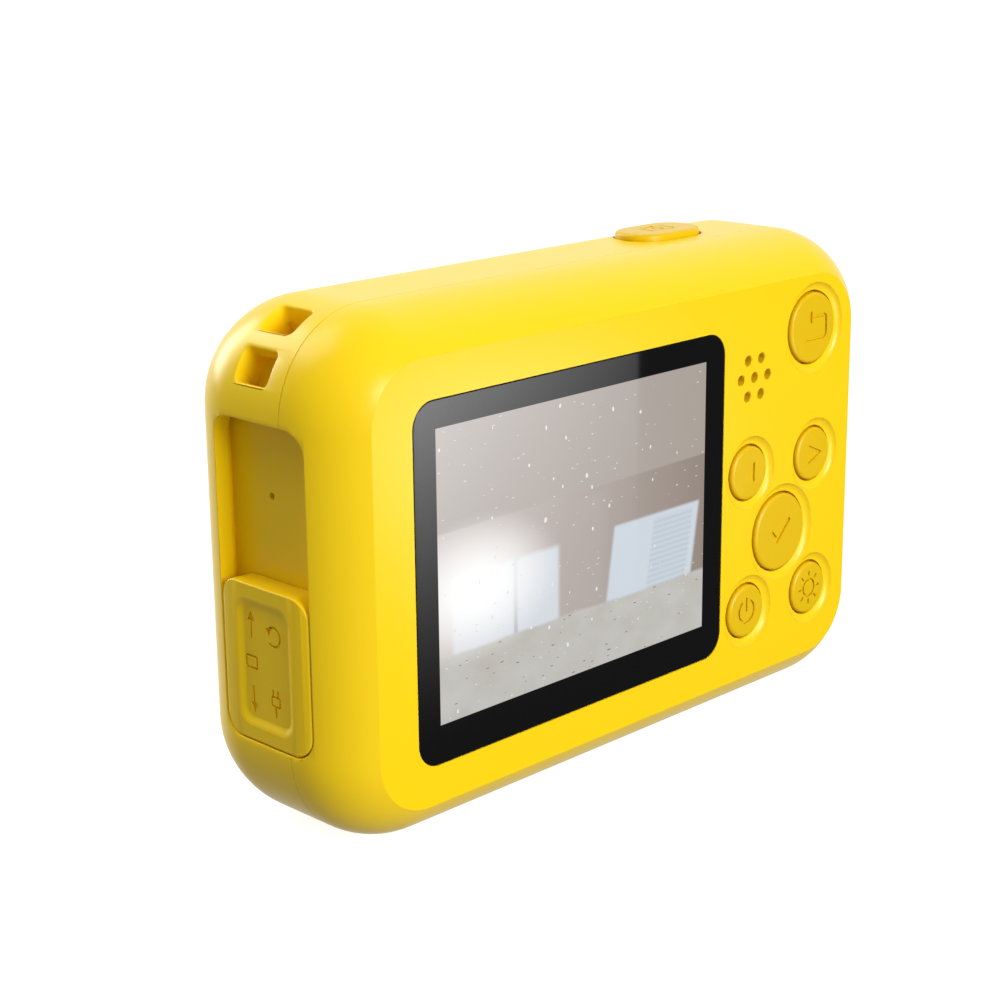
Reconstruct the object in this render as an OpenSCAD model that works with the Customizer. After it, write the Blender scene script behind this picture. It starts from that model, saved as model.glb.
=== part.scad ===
// Children's digital camera: a rounded two-shell case with a rear screen, six rear keys,
// a shutter key on top, a sliding door over the ports and a fixed-focus lens in front.
// Frame: +Z up, +Y the way the lens looks, +X the user's right hand, and the origin under
// the middle of the case. A "depth" is measured forwards from the flat rear face.

/* [Case] */
// Width of the case
body_w = 101.6; // [101:0.1:103]
// Height of the case
body_h = 66; // [65.6:0.1:67]
// Depth between the flat rear face and the flat front face
body_d = 30.8; // [30.6:0.1:31.4]
// Corner radius of the case seen from behind
corner_r = 13.2; // [13.1:0.05:13.4]
// Radius of the rounded edge behind the parting line
rear_edge_r = 11.4; // [11:0.1:11.8]
// Radius of the rounded edge before the front face
front_edge_r = 13.1; // [12.8:0.1:13.1]
// Angle of the crease where the rounded edge meets the rear face
rear_crease = 32; // [30:1:33]
// Angle of the crease where the rounded edge meets the front face
front_crease = 26; // [25:1:27]
// Wall thickness of both shells
wall = 2; // [1.9:0.05:2.1]
// Depth of the parting line between the shells
seam = 9.95; // [9.8:0.05:10.1]

/* [Screen] */
// Width of the black window
window_w = 56.5; // [56:0.1:57]
// Height of the black window
window_h = 45.2; // [45:0.1:45.6]
// Thickness of the window
window_t = 1.2; // [1:0.1:1.3]
// Width of the picture on the display
picture_w = 49; // [48.5:0.1:49.5]
// Height of the picture on the display
picture_h = 36.7; // [36:0.1:37]

/* [Keys] */
// Radius of a small rear key
small_key_r = 3.75; // [3.6:0.05:3.8]
// Radius of the return key
back_key_r = 4.95; // [4.8:0.05:5]
// Radius of the confirm key
ok_key_r = 5.5; // [5.4:0.05:5.6]
// Width of the concave ring around a key
dish_w = 1.15; // [1:0.05:1.2]
// Gap between a key and its hole
key_gap = 0.3; // [0.3:0.01:0.35]
// Travel of a rear key
key_travel = 0.5; // [0.4:0.05:0.6]
// Length of the shutter key
shutter_l = 14; // [13:0.1:14.4]
// Width of the shutter key
shutter_w = 8.6; // [8:0.1:8.8]

/* [Port door] */
// Depth at the rear edge of the door's recess
recess_near = 6.3; // [6.2:0.05:6.4]
// Depth at the front edge of the door's recess
recess_far = 22.4; // [22.2:0.05:22.6]
// Height of the recess's lower end
recess_low = 13.1; // [13:0.1:13.4]
// Height of the recess's upper end
recess_high = 53.1; // [52.8:0.1:53.4]
// Length of the sliding door
door_l = 19.8; // [19.4:0.1:19.8]
// Depth of the recess below the side of the case
recess_t = 3.4; // [3.3:0.05:3.5]

/* [Lens] */
// Outer radius of the lens ring
ring_r = 18.5; // [18:0.1:19]
// How far the lens ring stands out of the front face
ring_out = 3; // [2.8:0.1:3]
// Radius of the clear lens cover
cover_r = 13.4; // [13:0.1:13.4]

/* [Hidden] */
$fn = 64;

// Smallest gap between fixed pieces, and how far a cutter runs past a face
gap = 0.05;
past = 1;

yellow = "#FFDC1E";
key_yellow = "#F0C808";
black = "#101010";
steel = "#C8CACC";
board_green = "#1F6B3A";

// Case
half_w = body_w / 2;
rear_y = -(body_d + ring_out) / 2;
left_x = -half_w;
mid_z = body_h / 2;
rear_arc_depth = rear_edge_r * cos(rear_crease);
front_arc_depth = body_d - front_edge_r * cos(front_crease);
front_inner = body_d - wall;
lip_t = 0.9;
lip_l = 1.4;

// Screen, placed by the middle of the picture
picture_x = -11.15;
picture_z = 33.7;
window_x = -11;
window_z = 32.95;
window_r = 3.3;
panel_w = picture_w + 3.4;
panel_h = picture_h + 4.3;
frame_w = picture_w + 4.4;
frame_h = picture_h + 5.3;
panel_near = wall + 0.5;
panel_far = 4.1;
backlight_far = 5.3;
lcd_far = 5.7;

// Rear keys as [x, z, radius]
BACK = [36.8, 53.1, back_key_r];
LEFT = [23.3, 34.9, small_key_r];
RIGHT = [37.7, 34.9, small_key_r];
OK = [30.5, 24.95, ok_key_r];
LIGHT = [37.6, 15, small_key_r];
POWER = [23.3, 15, small_key_r];
KEYS = [BACK, LEFT, RIGHT, OK, LIGHT, POWER];
dish_depth = 0.65;
key_top = 0.15;
key_flange = 0.7;
key_hub_end = 3.35;
switch_near = 4.4;
switch_w = 6;
key_board_near = 6.4;
key_board_far = 7.6;
key_round = 0.5;
key_hub_r = 1.4;
key_flange_t = 0.7;
plunger_r = 1;
plunger_in = 0.3;
mark_depth = 0.25;
mark_line = 0.3;
bold_line = 0.45;

// Speaker
speaker_x = 23.75;
speaker_z = 48.2;
speaker_r = 6.5;
hole_pitch = 2.86;
sound_hole_r = 0.7;

// Shutter key
shutter_x = 22.7;
shutter_d = 16.7;
shutter_out = 0.9;
shutter_travel = 0.6;
shutter_low = body_h - wall - 2;
shutter_plunger_low = shutter_low - 1.3;
shutter_board_low = 56.6;
shutter_board_high = 57.8;

// Sliding door and its channel behind the case wall
door_gap = 0.2;
door_low = recess_low + door_gap;
door_far = recess_far - door_gap;
door_near = recess_near + door_gap;
door_sink = 0.55;
channel_near = recess_near - 0.7;
channel_far = recess_far + 0.7;
channel_x = left_x + 2.5;
floor_x = left_x + recess_t;
tray_t = 1.2;
tray_x = floor_x + tray_t;

// Boards
main_near = 14.6;
main_far = 15.8;
board_left = tray_x + 0.4;
board_right = 30;
board_low = 12.6;
board_high = 54.6;

// Battery
battery_near = 6.3;
battery_far = 11.8;
battery_x = -12.5;
battery_z = 34;
battery_w = 50;
battery_h = 34;
pad_t = 0.8;
lead_r = 0.5;
lead_x = 13.8;
lead_near = 9;
lead_far = 13.2;

// Ports, as depth and height of their middles
usb_d = 12.97;
usb_z = 19.5;
card_d = 16.7;
card_z = 23.1;
reset_d = 13;
reset_z = 28.4;
mic_d = 15.7;
mic_z = 43.4;

// Lens and flash
lens_z = 33;
ring_round = 1.5;
lens_hole_r = 15;
cover_near = body_d + 1.1;
cover_t = 1;
barrel_r = 6;
barrel_rear = 18.4;
barrel_front = 28.4;
glass_r = 4.4;
glass_near = 26.15;
holder_front = 24.4;
flash_x = 22;
flash_z = 44;
flash_r = 2.6;

// Screw positions as [x, z]
CASE_SCREWS = [[-36, 8.8], [-36, 57.2], [41.2, 44.6], [41.2, 25]];
KEY_BOARD_SCREWS = [[20.6, 25.2], [26.4, 57.2], [30.5, 15.4]];
MAIN_BOARD_SCREWS = [[-20, 51.6], [26.5, 50.5], [26.5, 16.5], [-27, 15.6]];
boss_meet = 14;
boss_r = 2.4;
low_boss_r = 1.8;
screw_r = 1;
screw_sink = 1.6;
key_screw_r = 0.68;
main_screw_r = 0.78;
head_t = 1;
slot_w = 0.4;
slot_depth = 0.5;

// ---- placing: flat outlines raised along one axis of the camera ----

// Raises an outline drawn in (x, z) between two depths
module plate(near, far) {
    translate([0, rear_y + far, 0]) rotate([90, 0, 0]) linear_extrude(far - near) children();
}

// Raises an outline drawn in (depth, z) between two places along x
module side_plate(x0, x1) {
    translate([x0, rear_y, 0]) rotate([90, 0, 90]) linear_extrude(x1 - x0) children();
}

// Raises an outline drawn in (x, depth) between two heights
module level_plate(z0, z1) {
    translate([0, rear_y, z0]) linear_extrude(z1 - z0) children();
}

// Turns a profile drawn in (radius, depth) about a line that runs front to back
module turned(x, z) {
    translate([x, rear_y, z]) rotate([-90, 0, 0]) rotate_extrude() children();
}

module rounded(w, h, r) {
    square([w - 2 * r, h], center = true);
    square([w, h - 2 * r], center = true);
    for (sx = [-1, 1], sz = [-1, 1]) translate([sx * (w / 2 - r), sz * (h / 2 - r)]) circle(r);
}

module box_outline(x0, z0, x1, z1) {
    translate([x0, z0]) square([x1 - x0, z1 - z0]);
}

module ring_outline(w, h, r, band) {
    difference() {
        rounded(w, h, r);
        rounded(w - 2 * band, h - 2 * band, max(r - band, 0.3));
    }
}

// ---- case ----

// Edge of the case in (distance from the corner's axis, depth), set in by some amount
module edge_profile(inset) {
    intersection() {
        translate([0, inset]) square([corner_r, body_d - 2 * inset]);
        union() {
            translate([corner_r - rear_edge_r, rear_arc_depth]) circle(rear_edge_r - inset, $fn = 128);
            translate([corner_r - front_edge_r, front_arc_depth]) circle(front_edge_r - inset, $fn = 128);
            translate([0, rear_arc_depth])
                square([corner_r - inset, front_arc_depth - rear_arc_depth]);
        }
    }
}

// The whole outside of the case, or its inside when inset by the wall
module case_form(inset) {
    run_w = body_w - 2 * corner_r;
    run_h = body_h - 2 * corner_r;
    for (sx = [0, 1]) mirror([sx, 0, 0]) {
        for (sz = [0, 1]) translate([run_w / 2, rear_y, mid_z]) mirror([0, 0, sz])
            translate([0, 0, -run_h / 2]) rotate([-90, 0, 0])
            rotate_extrude(angle = 90, $fn = 128) edge_profile(inset);
        translate([run_w / 2, rear_y, mid_z - run_h / 2]) linear_extrude(run_h) edge_profile(inset);
    }
    for (sz = [0, 1]) translate([run_w / 2, rear_y, mid_z]) mirror([0, 0, sz])
        translate([0, 0, run_h / 2]) rotate([0, -90, 0]) linear_extrude(run_w) edge_profile(inset);
    plate(inset, body_d - inset) translate([0, mid_z]) square([run_w, run_h], center = true);
}

module case_slice(near, far) {
    plate(near, far) translate([0, mid_z]) square([body_w + 2, body_h + 2], center = true);
}

module recess_outline(spread) {
    translate([(recess_near + recess_far) / 2, (recess_low + recess_high) / 2])
        rounded(recess_far - recess_near + 2 * spread, recess_high - recess_low + 2 * spread, 3);
}

module channel_outline() {
    box_outline(channel_near, recess_low - 0.7, channel_far, recess_high + 0.7);
}

// The recess through the case wall and the wider channel behind it that holds the door's rails
module door_cut() {
    side_plate(left_x - past, floor_x) recess_outline(0);
    side_plate(channel_x, floor_x) channel_outline();
}

// Concave ring and through hole for one rear key
module key_cut(key) {
    hole_r = key[2] + key_gap;
    bowl_r = (dish_w * dish_w + dish_depth * dish_depth) / (2 * dish_depth);
    turned(key[0], key[1]) {
        translate([0, -past]) square([hole_r, wall + 2 * past]);
        intersection() {
            translate([hole_r, dish_depth - bowl_r]) circle(bowl_r);
            translate([0, -past]) square([hole_r + bowl_r, dish_depth + past]);
        }
    }
}

module speaker_holes() {
    translate([speaker_x, speaker_z]) {
        circle(sound_hole_r);
        for (turn = [0:60:300]) rotate(turn) translate([hole_pitch, 0]) circle(sound_hole_r);
    }
}

module rear_lip() {
    outline_w = body_w - 2 * wall;
    outline_h = body_h - 2 * wall;
    outline_r = corner_r - wall;
    plate(seam - lip_l, seam) translate([0, mid_z])
        ring_outline(outline_w + wall, outline_h + wall, outline_r + wall / 2, wall / 2 + lip_t);
    plate(seam - lip_l, seam + lip_l) translate([0, mid_z])
        ring_outline(outline_w - 2 * gap, outline_h - 2 * gap, outline_r - gap, lip_t - gap);
}

module rear_shell() {
    color(yellow) difference() {
        union() {
            difference() {
                intersection() {
                    case_form(0);
                    case_slice(-past, seam);
                }
                intersection() {
                    case_form(wall);
                    case_slice(0, seam + past);
                }
            }
            difference() {
                rear_lip();
                side_plate(left_x + wall - gap, left_x + 8) box_outline(0, 10.8, body_d, 55.4);
                plate(seam - 3, seam + 3) box_outline(10, 60, 36, 66);
            }
            for (screw = CASE_SCREWS) plate(wall - gap, boss_meet) translate(screw) circle(boss_r);
            for (screw = KEY_BOARD_SCREWS)
                plate(wall - gap, key_board_near) translate(screw) circle(low_boss_r);
            plate(wall - gap, 5) translate([speaker_x, speaker_z]) difference() {
                circle(speaker_r + 0.9);
                circle(speaker_r + gap);
            }
        }
        for (key = KEYS) key_cut(key);
        plate(-past, window_t + 0.1) translate([window_x, window_z]) rounded(window_w, window_h, window_r);
        plate(0, wall + past) translate([picture_x, picture_z])
            rounded(picture_w + 1, picture_h + 1, 0.6);
        plate(-past, wall + past) speaker_holes();
        for (screw = CASE_SCREWS) plate(7, boss_meet + past) translate(screw) circle(screw_r + 0.02);
        for (screw = KEY_BOARD_SCREWS)
            plate(3, key_board_near + past) translate(screw) circle(key_screw_r + 0.02);
        door_cut();
    }
}

// Strap loop: two mouths on the upper left corner, joined behind a bar
strap_x = left_x + corner_r;
strap_z = body_h - corner_r;
strap_near = 12.8;
strap_far = 18.8;
strap_in = 9.4;
bar_in = 11;

module strap_sector(r0, r1, from, to) {
    difference() {
        intersection() {
            circle(r1);
            polygon([[0, 0], 30 * [cos(from), sin(from)], 30 * [cos(to), sin(to)]]);
        }
        circle(r0);
    }
}

module strap_cut() {
    translate([strap_x, 0, strap_z]) plate(strap_near, strap_far) {
        strap_sector(strap_in, bar_in, 111, 160);
        strap_sector(bar_in - gap, corner_r + past, 111, 130);
        strap_sector(bar_in - gap, corner_r + past, 141, 160);
    }
}

module strap_backing() {
    translate([strap_x, 0, strap_z]) plate(strap_near - 1.2, strap_far + 1.2)
        strap_sector(strap_in - 1.2, corner_r - 1, 104, 167);
}

module front_shell() {
    color(yellow) difference() {
        union() {
            difference() {
                intersection() {
                    case_form(0);
                    case_slice(seam, body_d + past);
                }
                intersection() {
                    case_form(wall);
                    case_slice(0, body_d);
                }
            }
            for (screw = CASE_SCREWS)
                plate(boss_meet + gap, front_inner + gap) translate(screw) circle(boss_r);
            for (screw = MAIN_BOARD_SCREWS)
                plate(main_far + gap, front_inner + gap) translate(screw) circle(low_boss_r);
            for (side = [-1, 1])
                plate(12, front_inner + gap) translate([shutter_x + side * 6.5, 55.6])
                    square([1.4, 2], center = true);
            strap_backing();
        }
        strap_cut();
        level_plate(body_h - wall - past, body_h + past)
            translate([shutter_x, shutter_d]) pill_outline(shutter_l, shutter_w);
        turned(0, lens_z) square([lens_hole_r, body_d + past]);
        turned(flash_x, flash_z) square([flash_r + 0.1, body_d + past]);
        for (screw = CASE_SCREWS) {
            plate(0, body_d) translate(screw) circle(screw_r + 0.1);
            plate(body_d - screw_sink, body_d + past) translate(screw) circle(2 * screw_r + 0.1);
        }
        for (screw = MAIN_BOARD_SCREWS)
            plate(main_near, 22) translate(screw) circle(main_screw_r + 0.02);
        door_cut();
    }
}

// Insert that closes the recess and holds the mouths of the ports
module port_tray() {
    color(yellow) difference() {
        intersection() {
            side_plate(left_x + wall, tray_x)
                box_outline(channel_near - 0.7, recess_low - 1.5, channel_far + 0.7, recess_high + 1.5);
            case_form(wall + gap);
        }
        side_plate(left_x, floor_x) channel_outline();
        side_plate(left_x, -half_w / 2) {
            translate([usb_d, usb_z]) rounded(3.3, 9, 1.5);
            translate([card_d, card_z]) square([1.1, 11.4], center = true);
            translate([reset_d, reset_z]) circle(0.7);
            translate([mic_d, mic_z]) circle(0.45);
        }
    }
}

module door_outline(spread) {
    translate([(door_near + door_far) / 2, door_low + door_l / 2])
        rounded(door_far - door_near + 2 * spread, door_l + 2 * spread, 2.8 + spread);
}

// Generic port marks: two arrows and a card on one side, a reset arrow and a plug on the other
module door_marks() {
    for (arrow = [[17.1, 27.85, 0], [17.2, 18.35, 1]])
        translate([arrow[0], arrow[1]]) mirror([0, arrow[2]]) {
            polygon([[-0.8, 0.45], [0.8, 0.45], [0, 1.75]]);
            translate([-mark_line / 2, -1.75]) square([mark_line, 2.25]);
        }
    translate([17.3, 23.1]) ring_outline(2.3, 1.8, 0.4, mark_line);
    translate([13, 27.2]) difference() {
        ring_line(1.35, mark_line);
        translate([0, -0.9]) square([2, 1.8]);
    }
    translate([13, 27.2]) polygon([[0.3, 0.9], [1.5, 0.9], [0.9, -0.1]]);
    translate([13, 19]) {
        ring_outline(1.8, 1.5, 0.3, mark_line);
        translate([-mark_line / 2, -2]) square([mark_line, 1.3]);
        for (side = [-0.6, 0.3]) translate([side, 0.7]) square([mark_line, 0.8]);
    }
}

module side_door() {
    color(yellow) difference() {
        union() {
            intersection() {
                side_plate(left_x, floor_x - 0.1) door_outline(0);
                case_form(gap);
            }
            side_plate(channel_x + 0.1, floor_x - 0.1)
                box_outline(channel_near + 0.15, door_low + 1, channel_far - 0.15, door_low + door_l - 1);
        }
        side_plate(left_x - past, left_x + door_sink)
            translate([(door_near + door_far) / 2, door_low + door_l / 2]) rounded(10.2, 16.2, 1.6);
        side_plate(left_x, left_x + door_sink + mark_depth) door_marks();
    }
}

// ---- screen ----

module screen_window() {
    color(black) plate(0, window_t) translate([window_x, window_z])
        rounded(window_w - 0.1, window_h - 0.1, window_r - gap);
}

module window_tape() {
    color("#303030") plate(window_t, window_t + 0.1) difference() {
        translate([window_x, window_z]) rounded(window_w - 0.6, window_h - 0.6, window_r - 0.3);
        translate([picture_x, picture_z]) rounded(picture_w + 1.6, picture_h + 1.6, 0.6);
    }
}

module lcd_gasket() {
    color("#404040") plate(wall, panel_near) translate([picture_x, picture_z])
        ring_outline(picture_w + 4, picture_h + 4, 1, 1.4);
}

module lcd_panel() {
    color("#6F7686") plate(panel_near, panel_far) translate([picture_x, picture_z])
        rounded(panel_w, panel_h, 0.5);
}

module lcd_backlight() {
    color("white") plate(panel_far, backlight_far) translate([picture_x, picture_z])
        rounded(panel_w, panel_h, 0.5);
}

module lcd_frame() {
    color(steel) difference() {
        plate(3, lcd_far) translate([picture_x, picture_z]) rounded(frame_w, frame_h, 0.8);
        plate(2, backlight_far + gap) translate([picture_x, picture_z])
            rounded(panel_w + 0.1, panel_h + 0.1, 0.5);
    }
}

// Flat cable from the display to its connector on the main board
ribbon_z = 13.6;
ribbon_t = 0.2;
ribbon_plug = 1.9;
module lcd_ribbon() {
    color("#C98A2B") side_plate(picture_x - 6, picture_x + 6) {
        box_outline(lcd_far, ribbon_z, main_near - ribbon_plug, ribbon_z + ribbon_t);
        box_outline(lcd_far, ribbon_z, lcd_far + ribbon_t, ribbon_z + 2.6);
    }
}

module ribbon_connector() {
    color("#E8E2D0") side_plate(picture_x - 7.5, picture_x + 7.5)
        box_outline(main_near - ribbon_plug, ribbon_z - 0.8, main_near, ribbon_z + 2);
}

// ---- rear keys ----

module ring_line(r, line) {
    difference() {
        circle(r);
        circle(r - line);
    }
}

module triangle_mark() {
    polygon([[-1.1, -1.4], [1.95, 0], [-1.1, 1.4]]);
}

// Return arrow: a bar that runs round from the lower left to an arrowhead at the upper left
module back_mark() {
    difference() {
        translate([0.1, 0]) ring_outline(6, 3.55, 0.75, bold_line);
        translate([-3, -2]) square([1.15, 4]);
        translate([-3, 0]) square([2.7, 2]);
    }
    polygon([[-0.3, 0.6], [-0.3, 2.4], [-1.6, 1.5]]);
}

// Check mark
module ok_mark() {
    polygon([[-2.12, 0], [-1.68, 0.42], [-0.6, -0.72], [1.88, 1.8], [2.32, 1.38], [-0.6, -1.6]]);
}

module light_mark() {
    ring_line(1.4, mark_line);
    for (turn = [0:45:315]) rotate(turn) translate([1.75, -mark_line / 2]) square([0.7, mark_line]);
}

module power_mark() {
    difference() {
        ring_line(1.78, mark_line);
        translate([-0.9, 0]) square([1.8, 2]);
    }
    translate([-mark_line / 2, -0.1]) square([mark_line, 2.05]);
}

module key_cap(key) {
    color(key_yellow) difference() {
        turned(key[0], key[1]) {
            translate([0, key_top]) square([key[2] - key_round, 2.6]);
            translate([0, key_top + key_round]) square([key[2], 2.6 - key_round]);
            translate([key[2] - key_round, key_top + key_round]) circle(key_round);
            translate([0, wall + gap]) square([key[2] + key_flange, key_flange_t]);
            translate([0, key_top]) square([key_hub_r, key_hub_end - key_top]);
        }
        plate(0, key_top + mark_depth) translate([key[0], key[1]]) children();
    }
}

module key_plunger(key) {
    color(black) plate(key_hub_end, switch_near + plunger_in) translate([key[0], key[1]])
        circle(plunger_r);
}

module back_key() { key_cap(BACK) back_mark(); }
module left_key() { key_cap(LEFT) rotate(180) triangle_mark(); }
module right_key() { key_cap(RIGHT) triangle_mark(); }
module ok_key() { key_cap(OK) ok_mark(); }
module light_key() { key_cap(LIGHT) light_mark(); }
module power_key() { key_cap(POWER) power_mark(); }
module back_plunger() { key_plunger(BACK); }
module left_plunger() { key_plunger(LEFT); }
module right_plunger() { key_plunger(RIGHT); }
module ok_plunger() { key_plunger(OK); }
module light_plunger() { key_plunger(LIGHT); }
module power_plunger() { key_plunger(POWER); }

module key_switches() {
    color("#3A3A3C") for (key = KEYS) difference() {
        plate(switch_near, key_board_near) translate([key[0], key[1]]) square(switch_w, center = true);
        plate(switch_near - past, switch_near + plunger_in + key_travel + 0.3)
            translate([key[0], key[1]]) circle(plunger_r + 0.3);
    }
}

module key_board() {
    color(board_green) difference() {
        plate(key_board_near, key_board_far) box_outline(18, 11.8, 42.2, 59.6);
        for (screw = KEY_BOARD_SCREWS) plate(0, body_d) translate(screw) circle(0.9);
        for (screw = CASE_SCREWS) plate(0, body_d) translate(screw) circle(boss_r + 0.4);
    }
}

// Pan-head screw that points towards the rear, or towards the front when turned
module board_screw(head, tip, r) {
    shank = head > tip ? [tip, head] : [head, tip];
    cap = head > tip ? [head, head + head_t] : [head - head_t, head];
    slot = head > tip ? [cap[1] - slot_depth, cap[1] + past] : [cap[0] - past, cap[0] + slot_depth];
    plate(shank[0], shank[1]) circle(r);
    difference() {
        plate(cap[0], cap[1]) circle(2 * r);
        plate(slot[0], slot[1]) {
            square([slot_w, 2 * r], center = true);
            square([2 * r, slot_w], center = true);
        }
    }
}

module key_board_screws() {
    color(steel) for (screw = KEY_BOARD_SCREWS) translate([screw[0], 0, screw[1]])
        board_screw(key_board_far, 3.2, key_screw_r);
}

// ---- speaker ----

module speaker() {
    color("#2A2A2C") turned(speaker_x, speaker_z) {
        translate([0, wall + 0.7]) square([speaker_r, 2.2]);
        translate([0, wall + 2.9]) square([speaker_r - 2, 0.6]);
    }
}

module speaker_gasket() {
    color("#404040") plate(wall + 0.15, wall + 0.7) translate([speaker_x, speaker_z]) difference() {
        circle(speaker_r - 0.1);
        circle(speaker_r - 1.6);
    }
}

module speaker_mesh() {
    color(black) plate(wall, wall + 0.15) translate([speaker_x, speaker_z]) circle(speaker_r - 0.1);
}

// ---- boards ----

module main_board() {
    color(board_green) difference() {
        plate(main_near, main_far) box_outline(board_left, board_low, board_right, board_high);
        for (screw = MAIN_BOARD_SCREWS) plate(0, body_d) translate(screw) circle(1);
        plate(0, body_d) box_outline(board_left - past, mic_z - 2.6, board_left + 2.4, mic_z + 2.6);
    }
}

module processor() {
    color(black) plate(main_far, main_far + 1.2) box_outline(-26, 34, -14, 46);
}

module memory_chip() {
    color(black) plate(main_far, main_far + 1) box_outline(-28, 22, -18, 28);
}

module main_board_screws() {
    color(steel) for (screw = MAIN_BOARD_SCREWS) translate([screw[0], 0, screw[1]])
        board_screw(main_near, 21, main_screw_r);
}

// Pin header between the key board and the main board
module board_header() {
    color(black) plate(key_board_far, main_near) box_outline(22.8, 30, 25.2, 45);
}

module battery() {
    color("#B9BCC4") plate(battery_near, battery_far) translate([battery_x, battery_z])
        rounded(battery_w, battery_h, 1.5);
}

module battery_pad() {
    color("white") plate(battery_far, battery_far + pad_t) translate([battery_x, battery_z])
        rounded(30, 20, 0.8);
}

// Two wires from the battery's end to its connector
module battery_leads() {
    out = lead_x - battery_x - battery_w / 2;
    color("firebrick") for (z = [32, 34]) translate([0, rear_y, z]) {
        translate([lead_x - out, lead_near, 0]) rotate([0, 90, 0]) cylinder(h = out, r = lead_r);
        for (bend = [lead_near, lead_far]) translate([lead_x, bend, 0]) sphere(lead_r);
        translate([lead_x, lead_near, 0]) rotate([-90, 0, 0])
            cylinder(h = lead_far - lead_near, r = lead_r);
        translate([lead_x, lead_far, 0]) rotate([0, 90, 0]) cylinder(h = 1.2, r = lead_r);
    }
}

module battery_connector() {
    color("ivory") plate(main_near - 3, main_near) box_outline(15, 30, 20, 36);
}

module usb_socket() {
    color(steel) difference() {
        side_plate(tray_x + gap, tray_x + 7.4) translate([usb_d, usb_z])
            rounded(3.2, 8.9, 1.4);
        side_plate(floor_x, tray_x + 6.6) translate([usb_d, usb_z]) difference() {
            rounded(2.6, 8.3, 1.1);
            rounded(0.7, 6.7, 0.3);
        }
    }
}

module card_socket() {
    color(steel) difference() {
        side_plate(tray_x + gap, tray_x + 14.4)
            box_outline(main_far, card_z - 6.7, main_far + 1.8, card_z + 6.7);
        side_plate(floor_x, tray_x + 13.4) translate([card_d, card_z])
            square([0.9, 11.2], center = true);
    }
}

module reset_switch() {
    color("#3A3A3C") difference() {
        side_plate(tray_x + 0.5, tray_x + 4)
            box_outline(reset_d - 1.6, reset_z - 2, main_near, reset_z + 2);
        side_plate(floor_x, tray_x + 2.6) translate([reset_d, reset_z]) circle(0.8);
    }
}

module reset_plunger() {
    color("white") side_plate(tray_x + 0.1, tray_x + 2) translate([reset_d, reset_z])
        circle(0.5);
}

module microphone() {
    color(steel) side_plate(tray_x + gap, tray_x + 1.7) translate([mic_d, mic_z]) circle(2);
}

// ---- lens and flash ----

module lens_ring() {
    color("#F4F4F0") difference() {
        turned(0, lens_z) {
            translate([0, body_d]) square([ring_r, ring_out - ring_round]);
            translate([0, body_d]) square([ring_r - ring_round, ring_out]);
            translate([ring_r - ring_round, body_d + ring_out - ring_round]) circle(ring_round);
            translate([0, front_inner]) square([lens_hole_r - 0.1, wall]);
        }
        turned(0, lens_z) square([cover_r - 0.9, body_d + 2 * ring_out]);
        turned(0, lens_z) translate([0, cover_near]) square([cover_r + gap, ring_out]);
        turned(0, lens_z) translate([0, body_d + ring_out - 0.6])
            polygon([[0, 0], [cover_r, 0], [cover_r + 1, 1], [0, 1]]);
    }
}

module lens_cover() {
    color("#D8E4EC", 0.4) turned(0, lens_z) translate([0, cover_near]) square([cover_r, cover_t]);
}

module lens_cup() {
    color(black) turned(0, lens_z) polygon([[7, 26.6], [7, 25.8], [8, 25.8], [cover_r - 1, 30.2],
        [cover_r - 1, 31.6], [cover_r - 2.2, 31.6], [cover_r - 2.2, 30.6], [7.6, 26.6]]);
}

module lens_barrel() {
    color("#1C1C1E") difference() {
        turned(0, lens_z) square([barrel_r, barrel_front]);
        plate(0, barrel_rear) translate([0, lens_z]) circle(barrel_r + 2);
        plate(0, glass_near - gap) translate([0, lens_z]) circle(glass_r - 1);
        plate(glass_near - gap, barrel_front + past) translate([0, lens_z]) circle(glass_r + gap);
        plate(barrel_rear - past, barrel_rear + 2) translate([0, lens_z]) circle(glass_r + gap);
    }
}

module front_lens() {
    bulge_r = 14;
    color("#B8C8E8", 0.5) intersection() {
        plate(glass_near, barrel_front + past) translate([0, lens_z]) circle(glass_r);
        translate([0, rear_y + barrel_front - 0.4 - bulge_r, lens_z]) sphere(bulge_r, $fn = 96);
    }
}

module rear_lens() {
    color("#B8C8E8", 0.5) plate(barrel_rear + 0.2, barrel_rear + 2 - gap) translate([0, lens_z])
        circle(glass_r);
}

module lens_holder() {
    color(black) difference() {
        plate(main_far, holder_front) translate([0, lens_z]) rounded(16, 16, 1.5);
        plate(barrel_rear - 0.1, holder_front + past) translate([0, lens_z]) circle(barrel_r + gap);
        plate(main_near, 20) translate([0, lens_z]) square(9, center = true);
    }
}

module image_sensor() {
    color("#33384A") plate(main_far, main_far + 0.9) translate([0, lens_z]) square(8, center = true);
}

module flash_window() {
    color("white", 0.5) plate(body_d - 0.9, body_d) translate([flash_x, flash_z]) circle(flash_r);
}

// Round light-emitting diode on two long legs
module flash_led() {
    color("#E8F0F0", 0.6) turned(flash_x, flash_z) {
        translate([0, 23]) square([2.4, 4]);
        translate([0, 22]) square([2.7, 1]);
        intersection() {
            translate([0, 27]) circle(2.4);
            translate([0, 27]) square(3);
        }
    }
    color(steel) for (side = [-1.27, 1.27])
        plate(main_far, 22.05) translate([flash_x + side, flash_z]) circle(0.3);
}

// ---- shutter key ----

module pill_outline(length, width) {
    square([length - width, width], center = true);
    for (side = [-1, 1]) translate([side * (length - width) / 2, 0]) circle(width / 2);
}

// Half section of a key with a rounded top edge, drawn in (distance from its middle line, z)
module pill_profile(r, low, high, edge_r) {
    translate([0, low]) square([r, high - low - edge_r]);
    translate([0, low]) square([r - edge_r, high - low]);
    translate([r - edge_r, high - edge_r]) circle(edge_r);
}

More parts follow.
